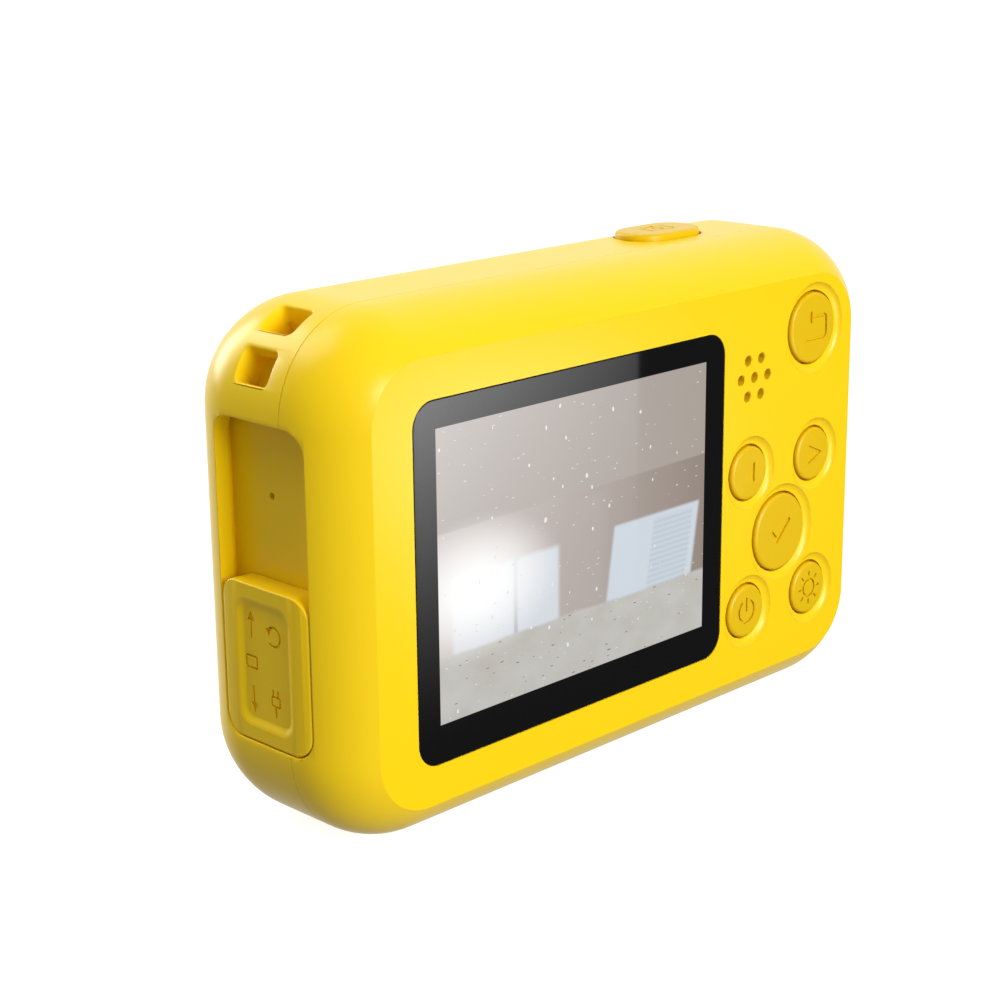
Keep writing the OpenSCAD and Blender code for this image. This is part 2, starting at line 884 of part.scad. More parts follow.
module pill(length, width, low, high, edge_r) {
    run = length - width;
    for (side = [0, 1]) mirror([side, 0, 0]) translate([run / 2, 0, 0]) rotate([0, 0, -90])
        rotate_extrude(angle = 180) pill_profile(width / 2, low, high, edge_r);
    for (side = [0, 1]) mirror([0, side, 0]) translate([-run / 2, 0, 0]) rotate([90, 0, 90])
        linear_extrude(run) pill_profile(width / 2, low, high, edge_r);
}

// Outline of a camera
module shutter_mark() {
    ring_outline(4.6, 3, 0.6, mark_line);
    translate([-0.8, 1.4]) square([1.6, 0.5]);
    ring_line(0.85, mark_line);
}

module shutter_key() {
    top = body_h + shutter_out;
    color(key_yellow) difference() {
        union() {
            translate([shutter_x, rear_y + shutter_d, 0])
                pill(shutter_l - 2 * key_gap, shutter_w - 2 * key_gap, body_h - wall - 1, top, key_round);
            intersection() {
                level_plate(body_h - wall - 0.8, body_h - wall) translate([shutter_x, shutter_d])
                    pill_outline(shutter_l + 1.2, shutter_w + 1.2);
                case_form(wall + gap);
            }
            level_plate(shutter_low, body_h - wall) translate([shutter_x, shutter_d]) circle(1.6);
        }
        level_plate(top - mark_depth, top + past) translate([shutter_x, shutter_d]) shutter_mark();
    }
}

module shutter_plunger() {
    color(black) level_plate(shutter_plunger_low, shutter_low) translate([shutter_x, shutter_d])
        circle(plunger_r);
}

module shutter_switch() {
    color("#3A3A3C") difference() {
        level_plate(shutter_board_high, shutter_plunger_low + 0.4) translate([shutter_x, shutter_d])
            square(switch_w, center = true);
        level_plate(shutter_plunger_low - shutter_travel - 0.3, body_h) translate([shutter_x, shutter_d])
            circle(plunger_r + 0.3);
    }
}

module shutter_board() {
    color(board_green) level_plate(shutter_board_low, shutter_board_high)
        translate([shutter_x, shutter_d]) square([17, 9], center = true);
}

module case_screws() {
    color(steel) for (screw = CASE_SCREWS) translate([screw[0], 0, screw[1]]) {
        board_screw(body_d - screw_sink, 7.5, screw_r);
    }
}

front_shell();
rear_shell();
port_tray();
side_door();
screen_window();
window_tape();
lcd_gasket();
lcd_panel();
lcd_backlight();
lcd_frame();
lcd_ribbon();
ribbon_connector();
back_key();
left_key();
right_key();
ok_key();
light_key();
power_key();
back_plunger();
left_plunger();
right_plunger();
ok_plunger();
light_plunger();
power_plunger();
key_switches();
key_board();
key_board_screws();
speaker();
speaker_gasket();
speaker_mesh();
main_board();
processor();
memory_chip();
main_board_screws();
board_header();
battery();
battery_pad();
battery_leads();
battery_connector();
usb_socket();
card_socket();
reset_switch();
reset_plunger();
microphone();
lens_ring();
lens_cover();
lens_cup();
lens_barrel();
front_lens();
rear_lens();
lens_holder();
image_sensor();
flash_window();
flash_led();
shutter_key();
shutter_plunger();
shutter_switch();
shutter_board();
case_screws();
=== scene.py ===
import math

import bpy
from mathutils import Matrix, Vector


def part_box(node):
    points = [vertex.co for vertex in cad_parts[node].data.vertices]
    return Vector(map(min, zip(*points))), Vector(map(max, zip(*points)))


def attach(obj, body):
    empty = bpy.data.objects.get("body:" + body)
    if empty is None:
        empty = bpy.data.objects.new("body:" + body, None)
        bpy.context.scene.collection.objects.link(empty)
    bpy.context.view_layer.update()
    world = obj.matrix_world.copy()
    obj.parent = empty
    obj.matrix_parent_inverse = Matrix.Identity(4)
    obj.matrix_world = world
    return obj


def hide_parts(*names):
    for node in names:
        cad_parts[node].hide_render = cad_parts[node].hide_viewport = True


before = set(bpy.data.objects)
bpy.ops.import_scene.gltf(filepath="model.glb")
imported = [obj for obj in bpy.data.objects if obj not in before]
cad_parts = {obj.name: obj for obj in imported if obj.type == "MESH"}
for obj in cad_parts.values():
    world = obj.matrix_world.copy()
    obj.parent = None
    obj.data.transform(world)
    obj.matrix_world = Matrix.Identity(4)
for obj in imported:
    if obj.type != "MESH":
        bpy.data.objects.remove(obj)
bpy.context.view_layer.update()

# ---- driving sizes, in metres ----

MM = 0.001
TURN = 2 * math.pi

CORNER_R = 13.2 * MM
REAR_EDGE_R = 11.4 * MM
FRONT_EDGE_R = 13.1 * MM
REAR_CREASE = math.radians(32)
FRONT_CREASE = math.radians(26)
WALL = 2 * MM
SEAM = 9.95 * MM
SEAM_GROOVE = 0.12 * MM
WINDOW_R = 3.25 * MM
WINDOW_SEAT = 1.3 * MM
LENS_HOLE_R = 15 * MM
DOOR_SINK = 0.55 * MM
CORNER_STEPS = 24
EDGE_STEPS = 16
# Faces larger than this stay flat, and points nearer than a sliver become one before a rim is rounded.
FLAT_AREA = 12 * MM * MM
SLIVER = 0.07 * MM
# Cutters reach this far past the face they open.
PAST = 1 * MM
NEAR_ENOUGH = 0.01 * MM

# Case screws as (x, z).
SCREW_PLACES = [(-36 * MM, 8.8 * MM), (-36 * MM, 57.2 * MM), (41.2 * MM, 44.6 * MM),
                (41.2 * MM, 25 * MM)]
SCREW_R, SCREW_HEAD_R = 1 * MM, 2 * MM
SCREW_HEAD_H, SCREW_ROUND = 1 * MM, 0.45 * MM
SINK_DEPTH = 1.6 * MM

DISH_WIDTH = 1.15 * MM
DISH_DEPTH = 0.65 * MM
KEY_GAP = 0.3 * MM
KEY_ROUND = 0.45 * MM
MARK_DEPTH = 0.32 * MM

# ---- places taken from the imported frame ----

rear_low, rear_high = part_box("rear_shell")
REAR_Y = rear_low.y
FRONT_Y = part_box("front_shell")[1].y
SEAM_Y = REAR_Y + SEAM
BODY_W = rear_high.x - rear_low.x
BODY_H = rear_high.z - rear_low.z
MID_X = (rear_low.x + rear_high.x) / 2
MID_Z = (rear_low.z + rear_high.z) / 2
BODY_D = FRONT_Y - REAR_Y
LEFT_X = rear_low.x
TOP_Z = rear_high.z


def middle(node):
    """Middle of a CAD node's box."""
    low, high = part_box(node)
    return (low + high) / 2


def depth(value):
    """A place this far in front of the flat rear face."""
    return REAR_Y + value


# ---- modelling by hand: select, then act ----

def fresh():
    bpy.ops.object.select_all(action="DESELECT")


def hold(piece):
    fresh()
    piece.select_set(True)
    bpy.context.view_layer.objects.active = piece


def named(name):
    piece = bpy.context.object
    piece.name = name
    piece.data.name = name
    return piece


def settle(piece):
    """Puts the piece's place and turn into its mesh."""
    hold(piece)
    bpy.ops.object.transform_apply(location=True, rotation=True, scale=True)
    return piece


def pick(piece, kind, test):
    """Opens the piece in edit mode with only what passes the test selected."""
    hold(piece)
    bpy.ops.object.mode_set(mode="EDIT")
    bpy.ops.mesh.select_mode(type=kind)
    bpy.ops.mesh.select_all(action="DESELECT")
    bpy.ops.object.mode_set(mode="OBJECT")
    mesh = piece.data
    if kind == "VERT":
        for vertex in mesh.vertices:
            vertex.select = test(vertex.co)
    elif kind == "FACE":
        for face in mesh.polygons:
            face.select = test(face.center, face.normal)
    else:
        for edge in mesh.edges:
            first, second = (mesh.vertices[i].co for i in edge.vertices)
            edge.select = test(first, second)
    bpy.ops.object.mode_set(mode="EDIT")


def close(piece, turn_out=True):
    """Leaves edit mode with doubles merged and, if wanted, the faces turned outwards."""
    bpy.ops.mesh.select_all(action="SELECT")
    bpy.ops.mesh.remove_doubles(threshold=0.002 * MM)
    if turn_out:
        bpy.ops.mesh.normals_make_consistent(inside=False)
    bpy.ops.object.mode_set(mode="OBJECT")
    return piece


def round_picked(radius, segments, slide=True):
    bpy.ops.mesh.bevel(offset=radius, offset_type="OFFSET", segments=segments, profile=0.5,
                       affect="EDGES", clamp_overlap=False, loop_slide=slide)


def along(axis):
    """Test for edges that run along one axis."""
    def test(first, second):
        run = second - first
        return abs(run[axis]) > 0.99 * run.length
    return test


def block(name, low, high, axis=1, corner=0.0, segments=8):
    """A box between two corners, with the edges along one axis rounded."""
    fresh()
    low, high = Vector(low), Vector(high)
    bpy.ops.mesh.primitive_cube_add(size=1, location=(low + high) / 2, scale=high - low)
    piece = settle(named(name))
    if corner:
        pick(piece, "EDGE", along(axis))
        round_picked(corner, segments)
        close(piece, turn_out=False)
    return piece


def round_end(piece, axis, place, radius, segments=3):
    """Rounds the rim of the flat end that lies at one place along an axis."""
    def on_end(first, second):
        return max(abs(first[axis] - place), abs(second[axis] - place)) < NEAR_ENOUGH
    pick(piece, "EDGE", on_end)
    round_picked(radius, segments)
    return close(piece, turn_out=False)


def turned(name, x, z, steps, sides=96):
    """A round piece about a line from rear to front: a disc raised and widened step by step.
    Each step is (radius, depth)."""
    fresh()
    radius, place = steps[0]
    bpy.ops.mesh.primitive_circle_add(vertices=sides, radius=radius, fill_type="NGON",
                                      location=(x, depth(place), z), rotation=(TURN / 4, 0, 0))
    piece = settle(named(name))
    bpy.ops.object.mode_set(mode="EDIT")
    bpy.ops.mesh.select_all(action="SELECT")
    for next_radius, next_place in steps[1:]:
        bpy.ops.mesh.extrude_region_move(
            TRANSFORM_OT_translate={"value": (0, next_place - place, 0)})
        growth = next_radius / radius
        bpy.ops.transform.resize(value=(growth, 1, growth),
                                 center_override=(x, depth(next_place), z))
        radius, place = next_radius, next_place
    return close(piece)


def arc_steps(centre_radius, centre_depth, size, start, end, count):
    """Steps along a round edge, for turned()."""
    steps = []
    for i in range(count + 1):
        angle = start + (end - start) * i / count
        steps.append((centre_radius + size * math.cos(angle), centre_depth + size * math.sin(angle)))
    return steps


def combine(piece, other, how):
    change = piece.modifiers.new("combine", "BOOLEAN")
    change.operation = how
    change.solver = "EXACT"
    change.object = other
    hold(piece)
    bpy.ops.object.modifier_apply(modifier=change.name)
    bpy.data.objects.remove(other)
    return piece


def cut(piece, *cutters):
    """Takes the cutters' shapes out of the piece, one after another."""
    for cutter in cutters:
        combine(piece, cutter, "DIFFERENCE")
    return piece


def cut_together(piece, cutters):
    """Takes cutters that don't touch each other out of the piece in one go."""
    fresh()
    for cutter in cutters:
        cutter.select_set(True)
    bpy.context.view_layer.objects.active = cutters[0]
    bpy.ops.object.join()
    return combine(piece, cutters[0], "DIFFERENCE")


def weld(piece, *others):
    for other in others:
        combine(piece, other, "UNION")
    return piece


def round_rim(piece, test, radius, segments=3, sharp=50):
    """Rounds the sharp edges that pass the test."""
    hold(piece)
    bpy.ops.object.mode_set(mode="EDIT")
    bpy.ops.mesh.select_mode(type="EDGE")
    bpy.ops.mesh.select_all(action="DESELECT")
    bpy.ops.mesh.edges_select_sharp(sharpness=math.radians(sharp))
    bpy.ops.object.mode_set(mode="OBJECT")
    ends = [[piece.data.vertices[i].co.copy() for i in edge.vertices]
            for edge in piece.data.edges if edge.select]
    rim = [(first, second) for first, second in ends if test(first, second)]
    pick(piece, "EDGE", lambda first, second: (first, second) in rim)
    bpy.ops.mesh.remove_doubles(threshold=SLIVER)
    round_picked(radius, segments, False)
    return close(piece, turn_out=False)


def smooth(piece, angle=30):
    """Smooth shading, except on the large flat faces."""
    hold(piece)
    bpy.ops.object.shade_smooth_by_angle(angle=math.radians(angle))
    bpy.ops.object.mode_set(mode="EDIT")
    bpy.ops.mesh.select_mode(type="FACE")
    bpy.ops.mesh.select_all(action="DESELECT")
    bpy.ops.object.mode_set(mode="OBJECT")
    for face in piece.data.polygons:
        face.select = face.area > FLAT_AREA and len(face.vertices) > 4
    bpy.ops.object.mode_set(mode="EDIT")
    bpy.ops.mesh.faces_shade_flat()
    bpy.ops.object.mode_set(mode="OBJECT")
    return piece


def finish_piece(piece, material, body, slot, *nodes):
    """Gives a finished piece its material and body, and hides the CAD nodes it stands for."""
    piece.data.materials.clear()
    piece.data.materials.append(material)
    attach(piece, body)
    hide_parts(*nodes)
    return piece


# ---- shader groups ----

def fill(tree, node, values):
    """Gives a node's inputs a value each, or a link where the value is a socket."""
    for label, value in values.items():
        if isinstance(value, bpy.types.NodeSocket):
            tree.links.new(value, node.inputs[label])
        else:
            node.inputs[label].default_value = value
    return node


def maths(tree, operation, first, second=None, third=None, clamp=False):
    node = tree.nodes.new("ShaderNodeMath")
    node.operation = operation
    node.use_clamp = clamp
    for socket, value in zip(node.inputs, (first, second, third)):
        if isinstance(value, (int, float)):
            socket.default_value = value
        elif value is not None:
            tree.links.new(value, socket)
    return node.outputs[0]


def times(tree, first, second):
    return maths(tree, "MULTIPLY", first, second)


def ramp(tree, value, start, span):
    """0 at the start and 1 a span further on."""
    return maths(tree, "DIVIDE", maths(tree, "SUBTRACT", value, start), span, clamp=True)


def own_place(tree):
    """Coordinates fixed to the piece."""
    return tree.nodes.new("ShaderNodeTexCoord").outputs["Object"]


def noise(tree, vector, scale, detail=2.0):
    node = tree.nodes.new("ShaderNodeTexNoise")
    return fill(tree, node, {"Scale": scale, "Detail": detail, "Vector": vector}).outputs["Fac"]


def mixed(tree, share, first, second):
    """A colour between two colours or colour sockets."""
    node = tree.nodes.new("ShaderNodeMix")
    node.data_type = "RGBA"
    if isinstance(share, (int, float)):
        node.inputs[0].default_value = share
    else:
        tree.links.new(share, node.inputs[0])
    for socket, value in ((node.inputs[6], first), (node.inputs[7], second)):
        if isinstance(value, tuple):
            socket.default_value = (*value, 1)
        else:
            tree.links.new(value, socket)
    return node.outputs[2]


def start_group(name, inputs, outputs):
    group = bpy.data.node_groups.new(name, "ShaderNodeTree")
    for label, value in inputs:
        socket = group.interface.new_socket(label, in_out="INPUT", socket_type="NodeSocketFloat")
        socket.default_value = value
    for label in outputs:
        group.interface.new_socket(label, in_out="OUTPUT", socket_type="NodeSocketFloat")
    return group, group.nodes.new("NodeGroupInput"), group.nodes.new("NodeGroupOutput")


def make_mould_texture():
    """Spark-eroded mould texture: fine grain for the bump, slow drifts of gloss and tone."""
    group, start, end = start_group(
        "mould_texture", [("Grain Size", 0.25), ("Gloss Drift", 0.05), ("Tone Drift", 0.3)],
        ["Height", "Gloss", "Tone"])
    place = own_place(group)
    grain = maths(group, "DIVIDE", 1 / MM, start.outputs["Grain Size"])
    drift = maths(group, "SUBTRACT", noise(group, place, 60, 3), 0.5)
    fill(group, end, {"Height": noise(group, place, grain, 3),
                      "Gloss": times(group, drift, start.outputs["Gloss Drift"]),
                      "Tone": times(group, noise(group, place, 35, 4), start.outputs["Tone Drift"])})
    return group


MOULD_TEXTURE = make_mould_texture()


# ---- materials ----

def start_material(name):
    material = bpy.data.materials.new(name)
    material.use_nodes = True
    tree = material.node_tree
    return material, tree, tree.nodes["Principled BSDF"]


def bump(tree, shader, height, strength, distance):
    node = tree.nodes.new("ShaderNodeBump")
    fill(tree, node, {"Strength": strength, "Distance": distance, "Height": height})
    fill(tree, shader, {"Normal": node.outputs["Normal"]})


def moulded(name, colour, shade, gloss, grain=0.25, relief=0.12, specular=0.5, metallic=0.0):
    """Moulded, cast or foamed stuff: a drifting tone, textured gloss and a fine grain."""
    material, tree, shader = start_material(name)
    texture = tree.nodes.new("ShaderNodeGroup")
    texture.node_tree = MOULD_TEXTURE
    fill(tree, texture, {"Grain Size": grain, "Tone Drift": 1})
    bump(tree, shader, texture.outputs["Height"], relief, 0.02 * MM)
    fill(tree, shader, {"Base Color": mixed(tree, texture.outputs["Tone"], colour, shade),
                        "Roughness": maths(tree, "ADD", texture.outputs["Gloss"], gloss, clamp=True),
                        "Specular IOR Level": specular, "Metallic": metallic})
    return material


CASE_YELLOW = moulded("case_yellow", (0.95, 0.64, 0.004), (0.92, 0.62, 0.003), 0.29, specular=0.34)
KEY_YELLOW = moulded("key_yellow", (0.76, 0.49, 0.001), (0.73, 0.47, 0.001), 0.34, 0.2, specular=0.3)
DOOR_YELLOW = moulded("door_yellow", (0.90, 0.60, 0.004), (0.87, 0.58, 0.003), 0.36, specular=0.3)
LENS_WHITE = moulded("lens_ring_white", (0.82, 0.82, 0.78), (0.78, 0.78, 0.74), 0.22, 0.4, 0.05)
WHITE_PLASTIC = moulded("white_plastic", (0.75, 0.75, 0.73), (0.7, 0.7, 0.68), 0.45)
IVORY_PLASTIC = moulded("ivory_plastic", (0.75, 0.70, 0.55), (0.70, 0.65, 0.50), 0.42)
BLACK_PLASTIC = moulded("black_plastic", (0.012, 0.012, 0.013), (0.020, 0.020, 0.021), 0.42)
BLACK_FOAM = moulded("black_foam", (0.02, 0.02, 0.02), (0.035, 0.035, 0.035), 0.9, 0.6, 0.8, 0.2)
WHITE_FOAM = moulded("white_foam", (0.7, 0.7, 0.7), (0.6, 0.6, 0.6), 0.9, 0.8, 0.7, 0.2)
STEEL_SHEET = moulded("steel_sheet", (0.55, 0.56, 0.57), (0.48, 0.49, 0.50), 0.32, 0.5, 0.15, 0.5, 1)
STEEL_SCREW = moulded("steel_screw", (0.50, 0.50, 0.51), (0.40, 0.40, 0.41), 0.28, 0.3, 0.2, 0.5, 1)
BATTERY_FOIL = moulded("battery_foil", (0.45, 0.46, 0.48), (0.38, 0.39, 0.41), 0.38, 2.5, 0.6, 0.5, 1)
FLAT_CABLE = moulded("flat_cable", (0.45, 0.20, 0.03), (0.38, 0.17, 0.02), 0.35, 1.0, 0.1)
RED_WIRE = moulded("red_wire", (0.5, 0.02, 0.015), (0.42, 0.015, 0.012), 0.45, 0.5, 0.1)
SENSOR_CHIP = moulded("sensor_chip", (0.03, 0.035, 0.06), (0.05, 0.03, 0.07), 0.15, 0.2, 0.05)


def make_board_green():
    """Solder mask over woven glass cloth, with copper tracks showing paler beneath."""
    material, tree, shader = start_material("board_green")
    place = own_place(tree)
    tracks = tree.nodes.new("ShaderNodeTexBrick")
    fill(tree, tracks, {"Vector": place, "Scale": 350, "Color1": (0.01, 0.10, 0.03, 1),
                        "Color2": (0.012, 0.12, 0.035, 1), "Mortar": (0.02, 0.17, 0.05, 1)})
    gloss = maths(tree, "MULTIPLY_ADD", noise(tree, place, 900, 2), 0.1, 0.28)
    fill(tree, shader, {"Base Color": tracks.outputs["Color"], "Roughness": gloss})
    bump(tree, shader, tracks.outputs["Fac"], 0.2, 0.03 * MM)
    return material


def make_black_cloth():
    """Fine woven cloth behind the sound holes."""
    material, tree, shader = start_material("black_cloth")
    place = own_place(tree)
    warp = tree.nodes.new("ShaderNodeTexWave")
    weft = tree.nodes.new("ShaderNodeTexWave")
    for wave, side in ((warp, "X"), (weft, "Z")):
        wave.bands_direction = side
        fill(tree, wave, {"Scale": 900, "Vector": place})
    weave = times(tree, warp.outputs["Fac"], weft.outputs["Fac"])
    fill(tree, shader, {"Base Color": mixed(tree, weave, (0.03, 0.026, 0.012), (0.09, 0.075, 0.03)),
                        "Roughness": maths(tree, "MULTIPLY_ADD", weave, -0.2, 0.95)})
    bump(tree, shader, weave, 0.6, 0.05 * MM)
    return material


def clear(name, tint, gloss, ior):
    """Clear moulded plastic or glass with faint smears."""
    material, tree, shader = start_material(name)
    smears = noise(tree, own_place(tree), 140, 4)
    fill(tree, shader, {"Base Color": mixed(tree, smears, tint, (1.0, 1.0, 1.0)),
                        "Roughness": maths(tree, "MULTIPLY_ADD", smears, 0.03, gloss),
                        "Transmission Weight": 1, "IOR": ior})
    return material


BOARD_GREEN = make_board_green()
BLACK_CLOTH = make_black_cloth()
CLEAR_COVER = clear("clear_cover", (0.96, 0.98, 1.0), 0.01, 1.49)
LENS_GLASS = clear("lens_glass", (0.88, 0.90, 1.0), 0.005, 1.52)


# ---- the picture on the display ----

def band(tree, value, low, high, soft):
    """One between low and high, and nothing outside, with soft ends."""
    return times(tree, ramp(tree, value, low, soft), ramp(tree, value, high, -soft))


def flecks(tree, vector, scale, size, share, slant, stretch):
    """Scattered small shapes: a cell texture cut down to the cells' middles, and only some of them."""
    turn = tree.nodes.new("ShaderNodeMapping")
    fill(tree, turn, {"Rotation": (0, slant, 0), "Scale": stretch, "Vector": vector})
    cells = tree.nodes.new("ShaderNodeTexVoronoi")
    fill(tree, cells, {"Scale": scale, "Randomness": 1, "Vector": turn.outputs["Vector"]})
    ragged = maths(tree, "MULTIPLY_ADD", noise(tree, turn.outputs["Vector"], scale * 2.2, 2), 1.6, -0.3)
    near = maths(tree, "LESS_THAN", cells.outputs["Distance"], times(tree, ragged, size))
    lot = tree.nodes.new("ShaderNodeSeparateColor")
    tree.links.new(cells.outputs["Color"], lot.inputs[0])
    return times(tree, near, maths(tree, "LESS_THAN", lot.outputs[0], share))


# The picture is laid out in shares of its width and height, as (low, high) spans.
PICTURE_RIM = (1.7 * MM, 2.15 * MM)
GLOW_AT = (0.13, 0.43)
CEILING_LINE = 0.645
BED_LINE = 0.205
LEFT_PANE, RIGHT_PANE, PANE_HEIGHT = (0.04, 0.43), (0.60, 0.955), (0.1, 0.50)
POST = (0.255, 0.275)
BLIND, BLIND_HEIGHT = (0.76, 0.93), (0.1, 0.48)
CURTAIN, CURTAIN_HEIGHT = (0.44, 0.62), (0.1, 0.64)


def make_display_window():
    """Black window whose clear part shows a lit room: ceiling, wall, two bright windows and a bed
    with feathers in the air."""
    material, tree, shader = start_material("display_window")
    low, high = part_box("lcd_panel")
    rim_x, rim_z = PICTURE_RIM
    picture_w, picture_h = high.x - low.x - 2 * rim_x, high.z - low.z - 2 * rim_z
    coords = own_place(tree)
    layout = tree.nodes.new("ShaderNodeMapping")
    layout.vector_type = "TEXTURE"
    fill(tree, layout, {"Location": (low.x + rim_x, 0, low.z + rim_z), "Vector": coords,
                        "Scale": (picture_w, picture_w, picture_h)})
    place = layout.outputs["Vector"]
    parts = tree.nodes.new("ShaderNodeSeparateXYZ")
    tree.links.new(place, parts.inputs[0])
    across, up = parts.outputs["X"], parts.outputs["Z"]

    glow_x = times(tree, maths(tree, "SUBTRACT", across, GLOW_AT[0]), 3.2)
    glow_z = times(tree, maths(tree, "SUBTRACT", up, GLOW_AT[1]), 3.8)
    spread = maths(tree, "ADD", maths(tree, "POWER", glow_x, 2), maths(tree, "POWER", glow_z, 2))
    glow = maths(tree, "POWER", maths(tree, "SUBTRACT", 1, spread, clamp=True), 1.6)

    dapple = noise(tree, place, 3.0, 3)
    ceiling = mixed(tree, across, (0.50, 0.46, 0.44), (0.40, 0.35, 0.31))
    ceiling = mixed(tree, times(tree, dapple, 0.25), ceiling, (0.42, 0.38, 0.35))
    wall = mixed(tree, across, (0.60, 0.54, 0.52), (0.30, 0.245, 0.21))
    ridge = maths(tree, "MULTIPLY_ADD", across, 0.015, CEILING_LINE)
    picture = mixed(tree, ramp(tree, up, ridge, 0.006), wall, ceiling)

    left_pane = times(tree, band(tree, across, *LEFT_PANE, 0.015), band(tree, up, *PANE_HEIGHT, 0.02))
    picture = mixed(tree, left_pane, picture, (0.66, 0.69, 0.74))
    post = times(tree, band(tree, across, *POST, 0.006), left_pane)
    picture = mixed(tree, post, picture, (0.45, 0.46, 0.50))
    tilted = maths(tree, "ADD", across, maths(tree, "MULTIPLY_ADD", up, -0.12, 0.03))
    right_pane = times(tree, band(tree, tilted, *RIGHT_PANE, 0.012), band(tree, up, *PANE_HEIGHT, 0.012))
    picture = mixed(tree, right_pane, picture, (0.62, 0.68, 0.74))
    slats = tree.nodes.new("ShaderNodeTexWave")
    slats.bands_direction = "Z"
    fill(tree, slats, {"Scale": 16, "Vector": place})
    blind = times(tree, band(tree, tilted, *BLIND, 0.01), band(tree, up, *BLIND_HEIGHT, 0.01))
    blind = times(tree, blind, maths(tree, "MULTIPLY_ADD", slats.outputs["Fac"], 0.5, 0.2))
    picture = mixed(tree, blind, picture, (0.48, 0.55, 0.62))
    curtain = times(tree, band(tree, across, *CURTAIN, 0.05), band(tree, up, *CURTAIN_HEIGHT, 0.02))
    picture = mixed(tree, times(tree, curtain, 0.55), picture, (0.46, 0.41, 0.38))

    bed_line = maths(tree, "MULTIPLY_ADD", dapple, 0.05, BED_LINE)
    bed = ramp(tree, up, bed_line, -0.012)
    sheet = mixed(tree, noise(tree, place, 9, 4), (0.46, 0.43, 0.38), (0.60, 0.60, 0.58))
    picture = mixed(tree, bed, picture, sheet)
    chaff = times(tree, bed, flecks(tree, place, 24, 0.24, 0.5, 0.7, (1, 1, 2.8)))
    picture = mixed(tree, chaff, picture, (0.23, 0.20, 0.15))
    picture = mixed(tree, glow, picture, (1.0, 1.0, 0.99))
    feathers = flecks(tree, place, 14, 0.2, 0.45, -0.5, (2.0, 1, 1))
    picture = mixed(tree, feathers, picture, (0.80, 0.80, 0.80))
    motes = times(tree, flecks(tree, place, 30, 0.24, 0.4, 0.9, (1, 1, 2.2)), 0.8)
    picture = mixed(tree, motes, picture, (0.72, 0.72, 0.71))

    lit = times(tree, band(tree, across, 0, 1, 0.001), band(tree, up, 0, 1, 0.001))
    black = mixed(tree, noise(tree, coords, 3000, 2), (0.004, 0.004, 0.0045), (0.006, 0.006, 0.0065))
    gloss = maths(tree, "MULTIPLY_ADD", noise(tree, coords, 120, 3), 0.02, 0.03)
    fill(tree, shader, {"Emission Color": mixed(tree, lit, (0, 0, 0), picture), "Emission Strength": 1,
                        "Base Color": black, "Roughness": gloss, "Specular IOR Level": 0.12})
    return material


DISPLAY_WINDOW = make_display_window()


# ---- case ----

def edge_steps(radius, crease, inset):
    """The rounded edge as (sideways, forward) steps from the side wall to the crease with the flat
    face. Set in by the wall, it is the inner round, which reaches its own flat face."""
    size = radius - inset
    flat = radius * math.cos(crease) - inset
    last = math.acos(flat / size)
    points = []
    for i in range(EDGE_STEPS + 1):
        angle = TURN / 4 - (TURN / 4 - last) * i / EDGE_STEPS
        points.append((size * (1 - math.sin(angle)), size * math.cos(angle)))
    return [(b[0] - a[0], b[1] - a[1]) for a, b in zip(points, points[1:])]


def case_form(name, near, far, inset=0.0, rear=False, front=False):
    """Rounded case outline between two depths, closed by the rounded rear edge, front edge or both."""
    half_w, half_h = BODY_W / 2 - inset, BODY_H / 2 - inset
    piece = block(name, (MID_X - half_w, depth(near), MID_Z - half_h),
                  (MID_X + half_w, depth(far), MID_Z + half_h), 1, CORNER_R - inset, CORNER_STEPS)
    for wanted, face_y, radius, crease in ((rear, depth(near), REAR_EDGE_R, REAR_CREASE),
                                           (front, depth(far), FRONT_EDGE_R, FRONT_CREASE)):
        if wanted:
            pick(piece, "FACE", lambda centre, normal: abs(centre.y - face_y) < NEAR_ENOUGH)
            for sideways, forward in edge_steps(radius, crease, inset):
                bpy.ops.mesh.inset(thickness=sideways, depth=forward, use_even_offset=True)
            close(piece)
    return piece


REAR_ARC = REAR_EDGE_R * math.cos(REAR_CREASE)
FRONT_ARC = BODY_D - FRONT_EDGE_R * math.cos(FRONT_CREASE)
KEYS = ["back_key", "left_key", "right_key", "ok_key", "light_key", "power_key"]
KEY_FLANGE = 0.7 * MM
FLANGE_THICK = 0.7 * MM
STEM_R = 1.4 * MM


def key_radius(node):
    low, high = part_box(node)
    return (high.x - low.x) / 2 - KEY_FLANGE


def key_well(node):
    """Cutter for the hole and the concave ring round a key."""
    at = middle(node)
    hole = key_radius(node) + KEY_GAP
    bowl = (DISH_WIDTH ** 2 + DISH_DEPTH ** 2) / (2 * DISH_DEPTH)
    reach = math.asin((bowl - DISH_DEPTH) / bowl)
    ring = arc_steps(hole, DISH_DEPTH - bowl, bowl, TURN / 4, reach, 14)
    outer = ring[-1][0]
    steps = [(hole, WALL + PAST), *ring, (outer + 0.15 * MM, -0.1 * MM), (outer + 0.2 * MM, -PAST)]
    return turned("key_well", at.x, at.z, steps)


SOUND_PITCH = 2.86 * MM
SOUND_HOLE = [(0.85 * MM, -0.5 * MM), (0.85 * MM, 0), (0.72 * MM, 0.13 * MM), (0.7 * MM, 3 * MM)]


def sound_holes():
    """One hole in the middle and six round it."""
    at = middle("speaker")
    holes = [turned("sound_hole", at.x, at.z, SOUND_HOLE, 32)]
    for i in range(6):
        angle = i * TURN / 6
        x, z = at.x + SOUND_PITCH * math.cos(angle), at.z + SOUND_PITCH * math.sin(angle)
        holes.append(turned("sound_hole", x, z, SOUND_HOLE, 32))
    return holes


